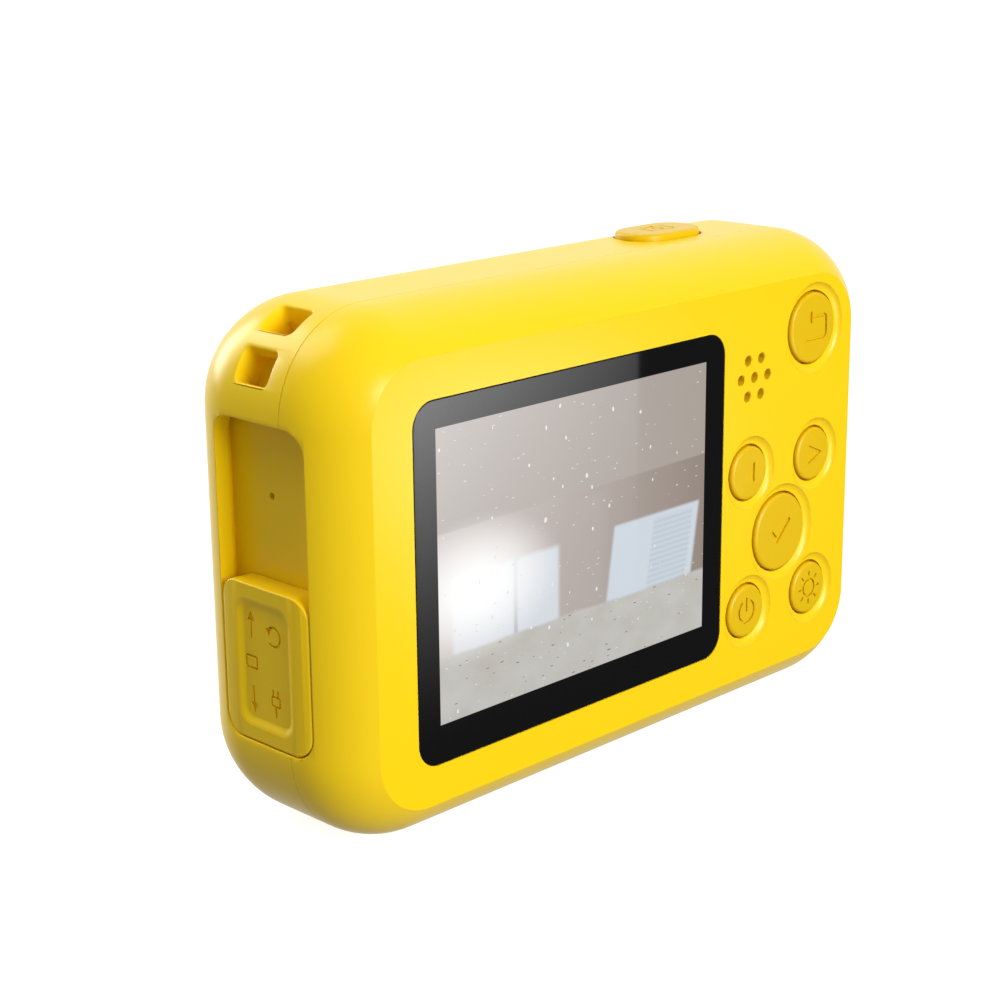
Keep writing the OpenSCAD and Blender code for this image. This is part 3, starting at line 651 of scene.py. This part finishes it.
RECESS_NEAR, RECESS_FAR = 6.3 * MM, 22.4 * MM
RECESS_LOW, RECESS_HIGH = 13.1 * MM, 53.1 * MM
RECESS_R = 3 * MM
RIM_ROUND = 0.18 * MM
CHANNEL_X = LEFT_X + 2.5 * MM
FLOOR_X = LEFT_X + 3.4 * MM
TRACK = 0.7 * MM


def recess_cutter():
    return block("recess", (LEFT_X - 2 * PAST, depth(RECESS_NEAR), RECESS_LOW),
                 (FLOOR_X, depth(RECESS_FAR), RECESS_HIGH), 0, RECESS_R, 12)


def channel_cutter():
    """The wider channel behind the wall that the door's rails slide in."""
    return block("channel", (CHANNEL_X, depth(RECESS_NEAR - TRACK), RECESS_LOW - TRACK),
                 (FLOOR_X, depth(RECESS_FAR + TRACK), RECESS_HIGH + TRACK))


def round_recess(shell):
    """Rounds the recess's outer rim, but not the parting line."""
    reach = 0.3 * MM

    def on_rim(first, second):
        return (max(first.x, second.x) < LEFT_X + 3 * reach
                and min(abs(first.y - SEAM_Y), abs(second.y - SEAM_Y)) > 0.05 * MM
                and depth(RECESS_NEAR - reach) < first.y < depth(RECESS_FAR + reach)
                and RECESS_LOW - reach < first.z < RECESS_HIGH + reach)
    return round_rim(shell, on_rim, RIM_ROUND, 2)


def make_rear_shell():
    shell = case_form("rear_case", REAR_ARC, SEAM, rear=True)
    round_end(shell, 1, SEAM_Y, SEAM_GROOVE, 1)
    cut(shell, case_form("rear_hollow", REAR_ARC, SEAM + PAST, WALL, rear=True))
    low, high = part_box("screen_window")
    slack = 0.06 * MM
    pocket = block("window_pocket", (low.x - slack, REAR_Y - PAST, low.z - slack),
                   (high.x + slack, depth(WINDOW_SEAT), high.z + slack), 1, WINDOW_R + slack, 12)
    low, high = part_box("lcd_panel")
    ledge_x, ledge_z = 1.2 * MM, 1.6 * MM
    view = block("display_view", (low.x + ledge_x, REAR_Y, low.z + ledge_z),
                 (high.x - ledge_x, depth(WALL + PAST), high.z - ledge_z))
    cut(shell, pocket, view, *[key_well(key) for key in KEYS])
    cut_together(shell, sound_holes())
    cut(shell, recess_cutter(), channel_cutter())
    round_recess(shell)
    smooth(shell, 28)
    return finish_piece(shell, CASE_YELLOW, "case", "yellow_shell", "rear_shell")


# Axis of the upper left corner's rounding.
CORNER_AXIS = Vector((LEFT_X + CORNER_R, 0, TOP_Z - CORNER_R))


def wedge(name, inner, outer, near, far, start, end, steps=12, corner=0.0):
    """Solid between two radii and two angles about the corner's axis. Its edges that run towards the
    axis can be rounded."""
    axis = CORNER_AXIS
    ray = Vector((math.cos(start), 0, math.sin(start)))
    centre = axis + ray * (inner + outer) / 2
    fresh()
    bpy.ops.mesh.primitive_plane_add(size=1, location=(centre.x, depth((near + far) / 2), centre.z),
                                     rotation=(0, -start, 0), scale=(outer - inner, far - near, 1))
    piece = named(name)
    piece.scale = (outer - inner, far - near, 1)
    settle(piece)
    bpy.ops.object.mode_set(mode="EDIT")
    bpy.ops.mesh.select_all(action="SELECT")
    bpy.ops.mesh.spin(steps=steps, angle=end - start, center=(axis.x, 0, axis.z), axis=(0, 1, 0))
    close(piece)
    if corner:
        def towards_axis(first, second):
            ends = [math.atan2(p.z - axis.z, p.x - axis.x) for p in (first, second)]
            at_end = min(abs(ends[0] - start), abs(ends[0] - end)) < 0.001
            return abs(ends[0] - ends[1]) < 0.001 and abs(first.y - second.y) < 0.01 * MM and at_end
        pick(piece, "EDGE", towards_axis)
        round_picked(corner, 6)
        close(piece, turn_out=False)
    return piece


STRAP_NEAR, STRAP_FAR = 12.8 * MM, 18.6 * MM
# Ends of the two mouths, and of the backing behind them, as angles about the corner's axis.
STRAP_ANGLES = [math.radians(a) for a in (111, 130, 141, 160)]
BACKING_ANGLES = [math.radians(a) for a in (104, 167)]
BACKING_R = 8.2 * MM
BACKING_WALL = 1.2 * MM
POCKET_R, BAR_R = 9.4 * MM, 11 * MM
MOUTH_R = 0.8 * MM


def cut_strap_loop(shell):
    """Two mouths in the corner, joined behind a bar."""
    first, second, third, last = STRAP_ANGLES
    weld(shell, wedge("strap_backing", BACKING_R, CORNER_R - 1 * MM, STRAP_NEAR - BACKING_WALL,
                      STRAP_FAR + BACKING_WALL, *BACKING_ANGLES))
    slack, turn = 0.05 * MM, math.radians(0.3)
    cut(shell, wedge("strap_pocket", POCKET_R, BAR_R, STRAP_NEAR - slack, STRAP_FAR + slack,
                     first - turn, last + turn))
    for start, end in ((first, second), (third, last)):
        cut(shell, wedge("strap_mouth", BAR_R - 0.6 * MM, CORNER_R + PAST, STRAP_NEAR, STRAP_FAR,
                         start, end, 3, MOUTH_R))


def round_strap_mouths(shell):
    def on_mouth(a, b):
        reach = [math.hypot(p.x - CORNER_AXIS.x, p.z - CORNER_AXIS.z) for p in (a, b)]
        turn = math.degrees(math.atan2(a.z - CORNER_AXIS.z, a.x - CORNER_AXIS.x))
        return (min(reach) > CORNER_R - 0.1 * MM and 109 < turn < 162
                and depth(STRAP_NEAR - 0.5 * MM) < a.y < depth(STRAP_FAR + 0.5 * MM))
    return round_rim(shell, on_mouth, 0.35 * MM, 3, 40)


def pill_block(name, low, high, axis, segments=16):
    """A block whose ends are half-rounds about one axis."""
    low, high = Vector(low), Vector(high)
    spans = sorted((high - low)[i] for i in range(3) if i != axis)
    return block(name, low, high, axis, spans[0] / 2 - 0.06 * MM, segments)


def make_front_shell():
    shell = case_form("front_case", SEAM, FRONT_ARC, front=True)
    round_end(shell, 1, SEAM_Y, SEAM_GROOVE, 1)
    cut(shell, case_form("front_hollow", SEAM - PAST, FRONT_ARC, WALL, front=True))
    cut(shell, recess_cutter(), channel_cutter())
    cut_strap_loop(shell)
    at = middle("shutter_key")
    half_l, half_w = SHUTTER_L / 2, SHUTTER_W / 2
    hole = pill_block("shutter_hole", (at.x - half_l, SHUTTER_Y - half_w, TOP_Z - 2 * WALL),
                      (at.x + half_l, SHUTTER_Y + half_w, TOP_Z + PAST), 2)
    lens = middle("lens_ring")
    lens_hole = turned("lens_hole", lens.x, lens.z,
                       [(LENS_HOLE_R, BODY_D - 2 * WALL), (LENS_HOLE_R, BODY_D + PAST)])
    flash = middle("flash_window")
    flash_low, flash_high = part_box("flash_window")
    flash_r, lead_in = (flash_high.x - flash_low.x) / 2 + 0.08 * MM, 0.15 * MM
    flash_hole = turned("flash_hole", flash.x, flash.z,
                        [(flash_r, BODY_D - 2 * WALL), (flash_r, BODY_D - lead_in),
                         (flash_r + lead_in, BODY_D), (flash_r + lead_in, BODY_D + PAST)], 48)
    cut(shell, hole, lens_hole, flash_hole)
    bore_r, sink_r, lip_r = SCREW_R + 0.1 * MM, SCREW_HEAD_R + 0.1 * MM, SCREW_HEAD_R + 0.25 * MM
    sink = [(bore_r, BODY_D - 5 * MM), (bore_r, BODY_D - SINK_DEPTH), (sink_r, BODY_D - SINK_DEPTH),
            (sink_r, BODY_D - 0.1 * MM), (lip_r, BODY_D + 0.05 * MM), (lip_r, BODY_D + PAST)]
    cut_together(shell, [turned("screw_sink", x, z, sink, 40) for x, z in SCREW_PLACES])
    round_recess(shell)
    round_strap_mouths(shell)
    smooth(shell, 28)
    return finish_piece(shell, CASE_YELLOW, "case", "yellow_shell", "front_shell")


# ---- marks, drawn about the origin on a face that looks to -Y, and sunk into it ----

MARK_LINE = 0.3 * MM


def bar(x0, z0, x1, z1):
    """An engraved bar. The sizes of all marks are in millimetres."""
    return block("mark_bar", (x0 * MM, -PAST, z0 * MM), (x1 * MM, MARK_DEPTH, z1 * MM))


def prism(corners):
    """An engraved flat shape with straight sides."""
    fresh()
    bpy.ops.mesh.primitive_circle_add(vertices=len(corners), radius=10 * MM, fill_type="NGON",
                                      rotation=(TURN / 4, 0, 0))
    piece = settle(named("mark_prism"))
    starts = [vertex.co.copy() for vertex in piece.data.vertices]
    for start, (x, z) in zip(starts, corners):
        pick(piece, "VERT", lambda place: (place - start).length < NEAR_ENOUGH)
        bpy.ops.transform.translate(value=Vector((x * MM, -PAST, z * MM)) - start)
        bpy.ops.object.mode_set(mode="OBJECT")
    bpy.ops.object.mode_set(mode="EDIT")
    bpy.ops.mesh.select_all(action="SELECT")
    bpy.ops.mesh.extrude_region_move(TRANSFORM_OT_translate={"value": (0, PAST + MARK_DEPTH, 0)})
    return close(piece)


def mark_hole(low, high, corner=0.0):
    """A cutter that goes right through a mark, between two (x, z) corners."""
    return block("mark_hole", (low[0] * MM, -2 * PAST, low[1] * MM), (high[0] * MM, PAST, high[1] * MM),
                 1, corner * MM, 6)


def ring(x, z, radius, gap=None):
    """An engraved ring, with an optional opening given as the low and high corners of a box."""
    outer, inner = radius * MM, radius * MM - MARK_LINE
    outline = turned("mark_ring", x * MM, z * MM,
                     [(outer, -PAST - REAR_Y), (outer, MARK_DEPTH - REAR_Y)], 40)
    cut(outline, turned("mark_ring_hole", x * MM, z * MM,
                        [(inner, -2 * PAST - REAR_Y), (inner, PAST - REAR_Y)], 40))
    if gap:
        cut(outline, mark_hole(*gap))
    return outline


def frame_mark(x0, z0, x1, z1, corner, line=MARK_LINE / MM):
    """An engraved rounded frame."""
    outline = block("mark_frame", (x0 * MM, -PAST, z0 * MM), (x1 * MM, MARK_DEPTH, z1 * MM),
                    1, corner * MM, 6)
    inner = max(corner - line, 0.1)
    return cut(outline, mark_hole((x0 + line, z0 + line), (x1 - line, z1 - line), inner))


def engrave(piece, marks, turn, place):
    """Sinks marks into a piece's face, after turning them to it."""
    for mark in marks:
        mark.rotation_euler = turn
        mark.location = place
        settle(mark)
        cut(piece, mark)
    return piece


def return_mark():
    bow = frame_mark(-2.9, -1.775, 3.1, 1.775, 0.75, 0.45)
    cut(bow, mark_hole((-3.2, -2.5), (-1.85, 2.5)), mark_hole((-3.2, 0), (-0.3, 2.5)))
    return [bow, prism([(-0.35, 0.6), (-0.35, 2.4), (-1.6, 1.5)])]


def right_mark():
    return [prism([(-1.1, -1.4), (1.95, 0), (-1.1, 1.4)])]


def left_mark():
    return [prism([(1.1, -1.4), (1.1, 1.4), (-1.95, 0)])]


def check_mark():
    return [prism([(-2.12, 0), (-1.68, 0.42), (-0.6, -0.72), (-0.6, -1.6)]),
            prism([(-0.62, -0.72), (1.88, 1.8), (2.32, 1.38), (-0.62, -1.6)])]


def light_mark():
    marks = [ring(0, 0, 1.4)]
    for i in range(8):
        ray = bar(1.75, -0.15, 2.45, 0.15)
        ray.rotation_euler = (0, i * TURN / 8, 0)
        marks.append(settle(ray))
    return marks


def power_mark():
    return [ring(0, 0, 1.78, gap=((-0.9, 0), (0.9, 2))), bar(-0.15, -0.1, 0.15, 1.95)]


KEY_MARKS = {"back_key": return_mark, "left_key": left_mark, "right_key": right_mark,
             "ok_key": check_mark, "light_key": light_mark, "power_key": power_mark}


# ---- keys ----

def make_key(node):
    low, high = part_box(node)
    at = (low + high) / 2
    radius = key_radius(node)
    top = low.y - REAR_Y
    flange_near = WALL + 0.05 * MM
    flange_far = flange_near + FLANGE_THICK
    rim = arc_steps(radius - KEY_ROUND, top + KEY_ROUND, KEY_ROUND, 0, -TURN / 4, 6)
    key = turned(node, at.x, at.z,
                 [(STEM_R, high.y - REAR_Y), (STEM_R, flange_far), (radius + KEY_FLANGE, flange_far),
                  (radius + KEY_FLANGE, flange_near), (radius, flange_near), *rim])
    engrave(key, KEY_MARKS[node](), (0, 0, 0), (at.x, low.y, at.z))
    smooth(key, 35)
    key.name = key.data.name = node + "_cap"
    return finish_piece(key, KEY_YELLOW, node, "yellow_key", node)


SHUTTER_L, SHUTTER_W = 14 * MM, 8.6 * MM
SHUTTER_Y = depth(16.7 * MM)
SHUTTER_ROUND = 0.5 * MM
SHUTTER_REACH = 3 * MM


def make_shutter_key():
    low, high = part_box("shutter_key")
    at = (low + high) / 2
    half_l, half_w = SHUTTER_L / 2 - KEY_GAP, SHUTTER_W / 2 - KEY_GAP
    key = pill_block("shutter_cap", (at.x - half_l, SHUTTER_Y - half_w, TOP_Z - SHUTTER_REACH),
                     (at.x + half_l, SHUTTER_Y + half_w, high.z), 2, 20)
    round_end(key, 2, high.z, SHUTTER_ROUND, 5)
    marks = [frame_mark(-2.3, -1.5, 2.3, 1.5, 0.6), bar(-0.8, 1.45, 0.8, 1.9), ring(0, 0, 0.85)]
    engrave(key, marks, (-TURN / 4, 0, 0), (at.x, SHUTTER_Y, high.z))
    smooth(key, 35)
    return finish_piece(key, KEY_YELLOW, "shutter_key", "yellow_key", "shutter_key")


# ---- port door ----

DOOR_GAP = 0.2 * MM
DOOR_R = 2.8 * MM
RAIL_GAP = 0.15 * MM
PANEL_HALF_W, PANEL_HALF_H, PANEL_R = 5.1 * MM, 8.1 * MM, 2.2 * MM
# The sunk panel's soft slope, as steps of run and rise in millimetres.
PANEL_SLOPE = [(0.14, 0.02), (0.16, 0.06), (0.2, 0.12), (0.22, 0.14), (0.18, 0.1), (0.14, 0.04)]
# Places of the marks in millimetres: arrows, card and the other column as depths, then the heights of
# the two arrows, the card, the ring arrow and the plug.
MARK_DEPTHS = (17.15, 17.3, 13)
MARK_HEIGHTS = (27.85, 18.35, 23.1, 27.2, 19)


def arrow_mark(x, z, way):
    """A straight arrow that points up or down."""
    tail, neck, tip = z - 1.75 * way, z + 0.45 * way, z + 1.75 * way
    root = z + 0.5 * way
    return [bar(x - 0.15, min(tail, root), x + 0.15, max(tail, root)),
            prism([(x - 0.8, neck), (x + 0.8, neck), (x, tip)])]


def turn_mark(x, z):
    """A ring arrow."""
    return [ring(x, z, 1.35, gap=((x - 2, z - 0.9), (x, z + 0.9))),
            prism([(x - 1.5, z + 0.9), (x - 0.3, z + 0.9), (x - 0.9, z - 0.1)])]


def plug_mark(x, z):
    return [frame_mark(x - 0.9, z - 0.75, x + 0.9, z + 0.75, 0.3),
            bar(x - 0.15, z - 2, x + 0.15, z - 0.7),
            bar(x - 0.6, z + 0.7, x - 0.3, z + 1.5), bar(x + 0.3, z + 0.7, x + 0.6, z + 1.5)]


def door_marks(middle_y, middle_z):
    """Marks placed from the door's middle: a turned door has its x towards the rear."""
    arrow_x, card_x, side_x = [(middle_y - depth(place * MM)) / MM for place in MARK_DEPTHS]
    upper_z, lower_z, card_z, turn_z, plug_z = [z - middle_z / MM for z in MARK_HEIGHTS]
    return [*arrow_mark(arrow_x, upper_z, 1), *arrow_mark(arrow_x, lower_z, -1),
            frame_mark(card_x - 1.15, card_z - 0.9, card_x + 1.15, card_z + 0.9, 0.35),
            *turn_mark(side_x, turn_z), *plug_mark(side_x, plug_z)]


def make_side_door():
    low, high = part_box("side_door")
    near, far = RECESS_NEAR + DOOR_GAP, RECESS_FAR - DOOR_GAP
    door = block("port_door", (LEFT_X - PAST, depth(near), low.z), (high.x, depth(far), high.z),
                 0, DOOR_R, 10)
    limit = case_form("door_limit", REAR_ARC, FRONT_ARC, 0.05 * MM, rear=True, front=True)
    combine(door, limit, "INTERSECT")
    middle_y, middle_z = (depth(near) + depth(far)) / 2, (low.z + high.z) / 2
    round_rim(door, lambda first, second: max(first.x, second.x) < LEFT_X + 0.6 * MM, RIM_ROUND, 3, 60)
    start_x = LEFT_X + DOOR_SINK - sum(rise for _, rise in PANEL_SLOPE) * MM
    panel = block("door_panel", (LEFT_X - 2 * PAST, middle_y - PANEL_HALF_W, middle_z - PANEL_HALF_H),
                  (start_x, middle_y + PANEL_HALF_W, middle_z + PANEL_HALF_H), 0, PANEL_R, 8)
    pick(panel, "FACE", lambda centre, normal: abs(centre.x - start_x) < NEAR_ENOUGH)
    for run, rise in PANEL_SLOPE:
        bpy.ops.mesh.inset(thickness=run * MM, depth=rise * MM, use_even_offset=True)
    cut(door, close(panel))
    rail = TRACK - RAIL_GAP
    weld(door, block("door_rails", (CHANNEL_X + 0.1 * MM, depth(RECESS_NEAR - rail), low.z + 1 * MM),
                     (high.x, depth(RECESS_FAR + rail), high.z - 1 * MM)))
    engrave(door, door_marks(middle_y, middle_z), (0, 0, -TURN / 4),
            (LEFT_X + DOOR_SINK, middle_y, middle_z))
    smooth(door, 35)
    return finish_piece(door, DOOR_YELLOW, "side_door", "yellow_door", "side_door")


# ---- screen window ----

def make_screen_window():
    low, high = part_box("screen_window")
    window = block("window_pane", low, high, 1, WINDOW_R, 12)
    round_end(window, 1, low.y, 0.12 * MM, 2)
    smooth(window, 35)
    return finish_piece(window, DISPLAY_WINDOW, "case", "black_window", "screen_window")


# ---- lens and flash ----

RING_ROUND = 1.5 * MM
COVER_LEDGE = 0.9 * MM
PANE_ROUND = 0.12 * MM
FUNNEL_R = 7 * MM


def make_lens_ring(at, low, high, cover_r, cover_near):
    outer, far, foot = (high.x - low.x) / 2, high.y - REAR_Y, low.y - REAR_Y
    neck = LENS_HOLE_R - 0.1 * MM
    crown = arc_steps(outer - RING_ROUND, far - RING_ROUND, RING_ROUND, 0, TURN / 4, 10)
    surround = turned("lens_surround", at.x, at.z,
                      [(neck, foot), (neck, BODY_D), (outer, BODY_D), *crown], 160)
    seat = cover_r + 0.05 * MM
    bore = turned("lens_bore", at.x, at.z,
                  [(cover_r - COVER_LEDGE, foot - PAST), (cover_r - COVER_LEDGE, cover_near),
                   (seat, cover_near), (seat, far - 0.5 * MM), (cover_r + 0.35 * MM, far - 0.15 * MM),
                   (cover_r + 0.8 * MM, far + 0.02 * MM), (cover_r + 0.9 * MM, far + PAST)], 160)
    smooth(cut(surround, bore), 35)
    finish_piece(surround, LENS_WHITE, "case", "white_ring", "lens_ring")


def make_lens_cup(at):
    """Black funnel that steps down to the lens."""
    low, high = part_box("lens_cup")
    cup_r = (high.x - low.x) / 2
    near, rim = low.y - REAR_Y, high.y - REAR_Y
    floor = near + 0.8 * MM
    # From the rim inwards, each step is how far in and how far down it lies.
    inside = [(1.2, 0), (1.2, 1), (1.6, 1), (2, 1.6), (2.8, 1.6), (3.1, 2.6), (4.1, 2.6)]
    cup = turned("lens_funnel", at.x, at.z,
                 [(FUNNEL_R + 1 * MM, near), (cup_r, rim - 1.4 * MM), (cup_r, rim),
                  *[(cup_r - x * MM, rim - y * MM) for x, y in inside],
                  (FUNNEL_R + 0.6 * MM, floor), (FUNNEL_R, floor)], 128)
    cut(cup, turned("funnel_hole", at.x, at.z, [(FUNNEL_R, near - PAST), (FUNNEL_R, rim + PAST)], 128))
    smooth(cup, 35)
    finish_piece(cup, BLACK_PLASTIC, "case", "black_plastic", "lens_cup")


def make_lens():
    low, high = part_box("lens_ring")
    at = (low + high) / 2
    cover_low, cover_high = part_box("lens_cover")
    cover_r = (cover_high.x - cover_low.x) / 2
    cover_near, cover_far = cover_low.y - REAR_Y, cover_high.y - REAR_Y
    make_lens_ring(at, low, high, cover_r, cover_near)
    cover = turned("lens_pane", at.x, at.z, [(cover_r, cover_near), (cover_r, cover_far - PANE_ROUND),
                                             (cover_r - PANE_ROUND, cover_far)], 128)
    smooth(cover, 35)
    finish_piece(cover, CLEAR_COVER, "case", "clear_cover", "lens_cover")
    make_lens_cup(at)


def make_flash_window():
    """Clear pane with fine round grooves."""
    low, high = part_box("flash_window")
    at = (low + high) / 2
    radius = (high.x - low.x) / 2
    near, far = low.y - REAR_Y, high.y - REAR_Y
    edge = 0.2 * MM
    pane = turned("flash_pane", at.x, at.z,
                  [(radius, near), (radius, far - edge), (radius - edge, far)], 64)
    grooves = []
    for i in range(5):
        reach = radius * (0.85 - 0.17 * i)
        core = reach - 0.1 * MM
        groove = turned("flash_groove", at.x, at.z,
                        [(reach, far - 0.08 * MM), (reach + 0.05 * MM, far + PAST)], 64)
        cut(groove, turned("groove_core", at.x, at.z,
                           [(core, far - PAST), (core - 0.05 * MM, far + 2 * PAST)], 64))
        grooves.append(groove)
    cut_together(pane, grooves)
    smooth(pane, 35)
    return finish_piece(pane, CLEAR_COVER, "case", "clear_cover", "flash_window")


def make_case_screws():
    """Four screws with crossed slots, modelled once and copied."""
    low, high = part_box("case_screws")
    near, far = low.y - REAR_Y, high.y - REAR_Y
    x, z = SCREW_PLACES[0]
    dome = arc_steps(SCREW_HEAD_R - SCREW_ROUND, far - SCREW_ROUND, SCREW_ROUND, 0, TURN / 4, 5)
    screw = turned("case_screw", x, z,
                   [(SCREW_R - 0.05 * MM, near + 0.6 * MM), (SCREW_R, near + 1 * MM),
                    (SCREW_R, far - SCREW_HEAD_H), (SCREW_HEAD_R, far - SCREW_HEAD_H), *dome], 40)
    slot_w, slot_l, slot_h = 0.28 * MM, 1.2 * MM, 0.55 * MM
    for half_x, half_z in ((slot_l, slot_w), (slot_w, slot_l)):
        cut(screw, block("slot", (x - half_x, high.y - slot_h, z - half_z),
                         (x + half_x, high.y + PAST, z + half_z)))
    smooth(screw, 35)
    pieces = [screw]
    for other_x, other_z in SCREW_PLACES[1:]:
        hold(screw)
        bpy.ops.object.duplicate(linked=False)
        copy = bpy.context.object
        copy.location = (other_x - x, 0, other_z - z)
        pieces.append(settle(copy))
    for i, piece in enumerate(pieces):
        piece.name = piece.data.name = "case_screw_" + str(i + 1)
        finish_piece(piece, STEEL_SCREW, "case", "steel_screw", "case_screws")


# ---- finishes of the pieces that come from the frame ----

FINISHES = [
    (CASE_YELLOW, ["port_tray"]),
    (BLACK_FOAM, ["lcd_gasket", "speaker_gasket", "window_tape"]),
    (WHITE_FOAM, ["battery_pad"]),
    (BLACK_CLOTH, ["speaker_mesh"]),
    (LENS_GLASS, ["lcd_panel", "front_lens", "rear_lens"]),
    (WHITE_PLASTIC, ["lcd_backlight", "reset_plunger"]),
    (IVORY_PLASTIC, ["ribbon_connector", "battery_connector"]),
    (STEEL_SHEET, ["lcd_frame", "usb_socket", "card_socket", "microphone"]),
    (STEEL_SCREW, ["key_board_screws", "main_board_screws"]),
    (FLAT_CABLE, ["lcd_ribbon"]),
    (BOARD_GREEN, ["key_board", "main_board", "shutter_board"]),
    (BATTERY_FOIL, ["battery"]),
    (RED_WIRE, ["battery_leads"]),
    (SENSOR_CHIP, ["image_sensor"]),
    (CLEAR_COVER, ["flash_led"]),
]


def finish_frame_pieces():
    """Pieces kept from the frame get a finish too: black plastic unless the list says otherwise."""
    chosen = {node: material for material, nodes in FINISHES for node in nodes}
    for node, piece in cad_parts.items():
        material = chosen.get(node, BLACK_PLASTIC)
        for i in range(len(piece.data.materials)):
            piece.data.materials[i] = material
        if not piece.data.materials:
            piece.data.materials.append(material)


finish_frame_pieces()
make_rear_shell()
make_front_shell()
make_side_door()
make_screen_window()
for key in KEYS:
    make_key(key)
make_shutter_key()
make_lens()
make_flash_window()
make_case_screws()


# ---- camera, floor and light ----

def make_camera():
    """Three-quarter view from behind and to the left, a little above."""
    azimuth, elevation, roll = math.radians(-45.04), math.radians(16.01), math.radians(-0.583)
    aim = Vector((-25.2 * MM, REAR_Y, 41.33 * MM))
    back = Vector((math.sin(azimuth) * math.cos(elevation), -math.cos(azimuth) * math.cos(elevation),
                   math.sin(elevation)))
    level_right = Vector((0, 0, 1)).cross(back).normalized()
    level_up = back.cross(level_right)
    right = level_right * math.cos(roll) + level_up * math.sin(roll)
    up = level_up * math.cos(roll) - level_right * math.sin(roll)
    bpy.ops.object.camera_add(location=aim + back * 250.73 * MM)
    camera = bpy.context.object
    camera.name = "view_camera"
    camera.rotation_mode = "QUATERNION"
    camera.rotation_quaternion = Matrix((right, up, back)).transposed().to_quaternion()
    camera.data.lens = 75.25
    camera.data.sensor_width = 36
    camera.data.clip_start = 0.01
    camera.data.clip_end = 50
    bpy.context.scene.camera = camera


def soft_light(name, place, size, power, aim=(0, 0, 0.033)):
    fresh()
    bpy.ops.object.light_add(type="AREA", location=place)
    lamp = bpy.context.object
    lamp.name = name
    lamp.data.shape = "RECTANGLE"
    lamp.data.size, lamp.data.size_y = size
    lamp.data.energy = power
    lamp.rotation_mode = "QUATERNION"
    lamp.rotation_quaternion = (Vector(place) - Vector(aim)).to_track_quat("Z", "Y")
    return lamp


def make_floor():
    """White floor with a light of its own, so that it stays white. Glossy surfaces don't mirror it."""
    fresh()
    bpy.ops.mesh.primitive_plane_add(size=60, location=(0, 0, 0))
    floor = named("floor")
    material, tree, shader = start_material("white_floor")
    fill(tree, shader, {"Base Color": (0.35, 0.35, 0.35, 1), "Roughness": 0.9, "Specular IOR Level": 0,
                        "Emission Color": (1, 1, 1, 1), "Emission Strength": 0.88})
    floor.data.materials.append(material)
    floor.visible_glossy = False
    floor.visible_diffuse = False


def lobe(tree, way, towards, start, span):
    """How far a direction leans one way: 0 up to the start, 1 beyond the span."""
    lean = tree.nodes.new("ShaderNodeVectorMath")
    lean.operation = "DOT_PRODUCT"
    lean.inputs[1].default_value = towards
    tree.links.new(way, lean.inputs[0])
    return ramp(tree, lean.outputs["Value"], start, span)


def make_surroundings():
    """A bright wall in front of the lens, dim all round, darker at the left and low down where the
    rear face would mirror it. Seen directly, it is plain white."""
    world = bpy.data.worlds.new("studio")
    world.use_nodes = True
    tree = world.node_tree
    way = tree.nodes.new("ShaderNodeTexCoord").outputs["Generated"]
    wall = lobe(tree, way, (0.62, 0.74, 0.26), 0.35, 0.45)
    left = lobe(tree, way, (-0.94, 0.34, 0), 0.1, 0.9)
    mirrored = lobe(tree, way, (0.68, -0.68, -0.27), 0.6, 0.3)
    dim = maths(tree, "MULTIPLY_ADD", left, -0.2, 0.44)
    dim = times(tree, dim, maths(tree, "MULTIPLY_ADD", mirrored, -0.75, 1))
    seen = tree.nodes.new("ShaderNodeLightPath").outputs["Is Camera Ray"]
    lit = maths(tree, "MULTIPLY_ADD", wall, 0.6, dim)
    fill(tree, tree.nodes["Background"], {"Color": (1, 1, 1, 1),
                                          "Strength": maths(tree, "MAXIMUM", seen, lit)})
    bpy.context.scene.world = world


def make_window_glare():
    """Softbox that shows only as a reflection in the display window, and fades downwards and
    sideways."""
    x, z = 0.0661, -0.0035
    lamp = soft_light("window_glare", (x, -0.1, z), (0.0582, 0.065), 0.19, (x, 0, z))
    lamp.visible_camera = False
    lamp.visible_diffuse = False
    lamp.data.use_nodes = True
    tree = lamp.data.node_tree
    parts = tree.nodes.new("ShaderNodeSeparateXYZ")
    tree.links.new(tree.nodes.new("ShaderNodeNewGeometry").outputs["Parametric"], parts.inputs[0])
    sideways = maths(tree, "MULTIPLY_ADD", parts.outputs["X"], -0.57, 1.01)
    fade = maths(tree, "POWER", times(tree, parts.outputs["Y"], sideways), 2)
    fill(tree, tree.nodes["Emission"], {"Strength": fade})


make_camera()
make_floor()
make_surroundings()
make_window_glare()
soft_light("overhead", (-0.22, 0.34, 0.6), (0.4, 0.4), 1.5)
soft_light("rear_key", (-0.06, -0.87, 0.34), (0.4, 0.4), 7.8)
soft_light("left_rim", (-0.1, 0.62, 0.28), (0.25, 0.4), 2.2)
bpy.context.scene.view_settings.view_transform = "Standard"
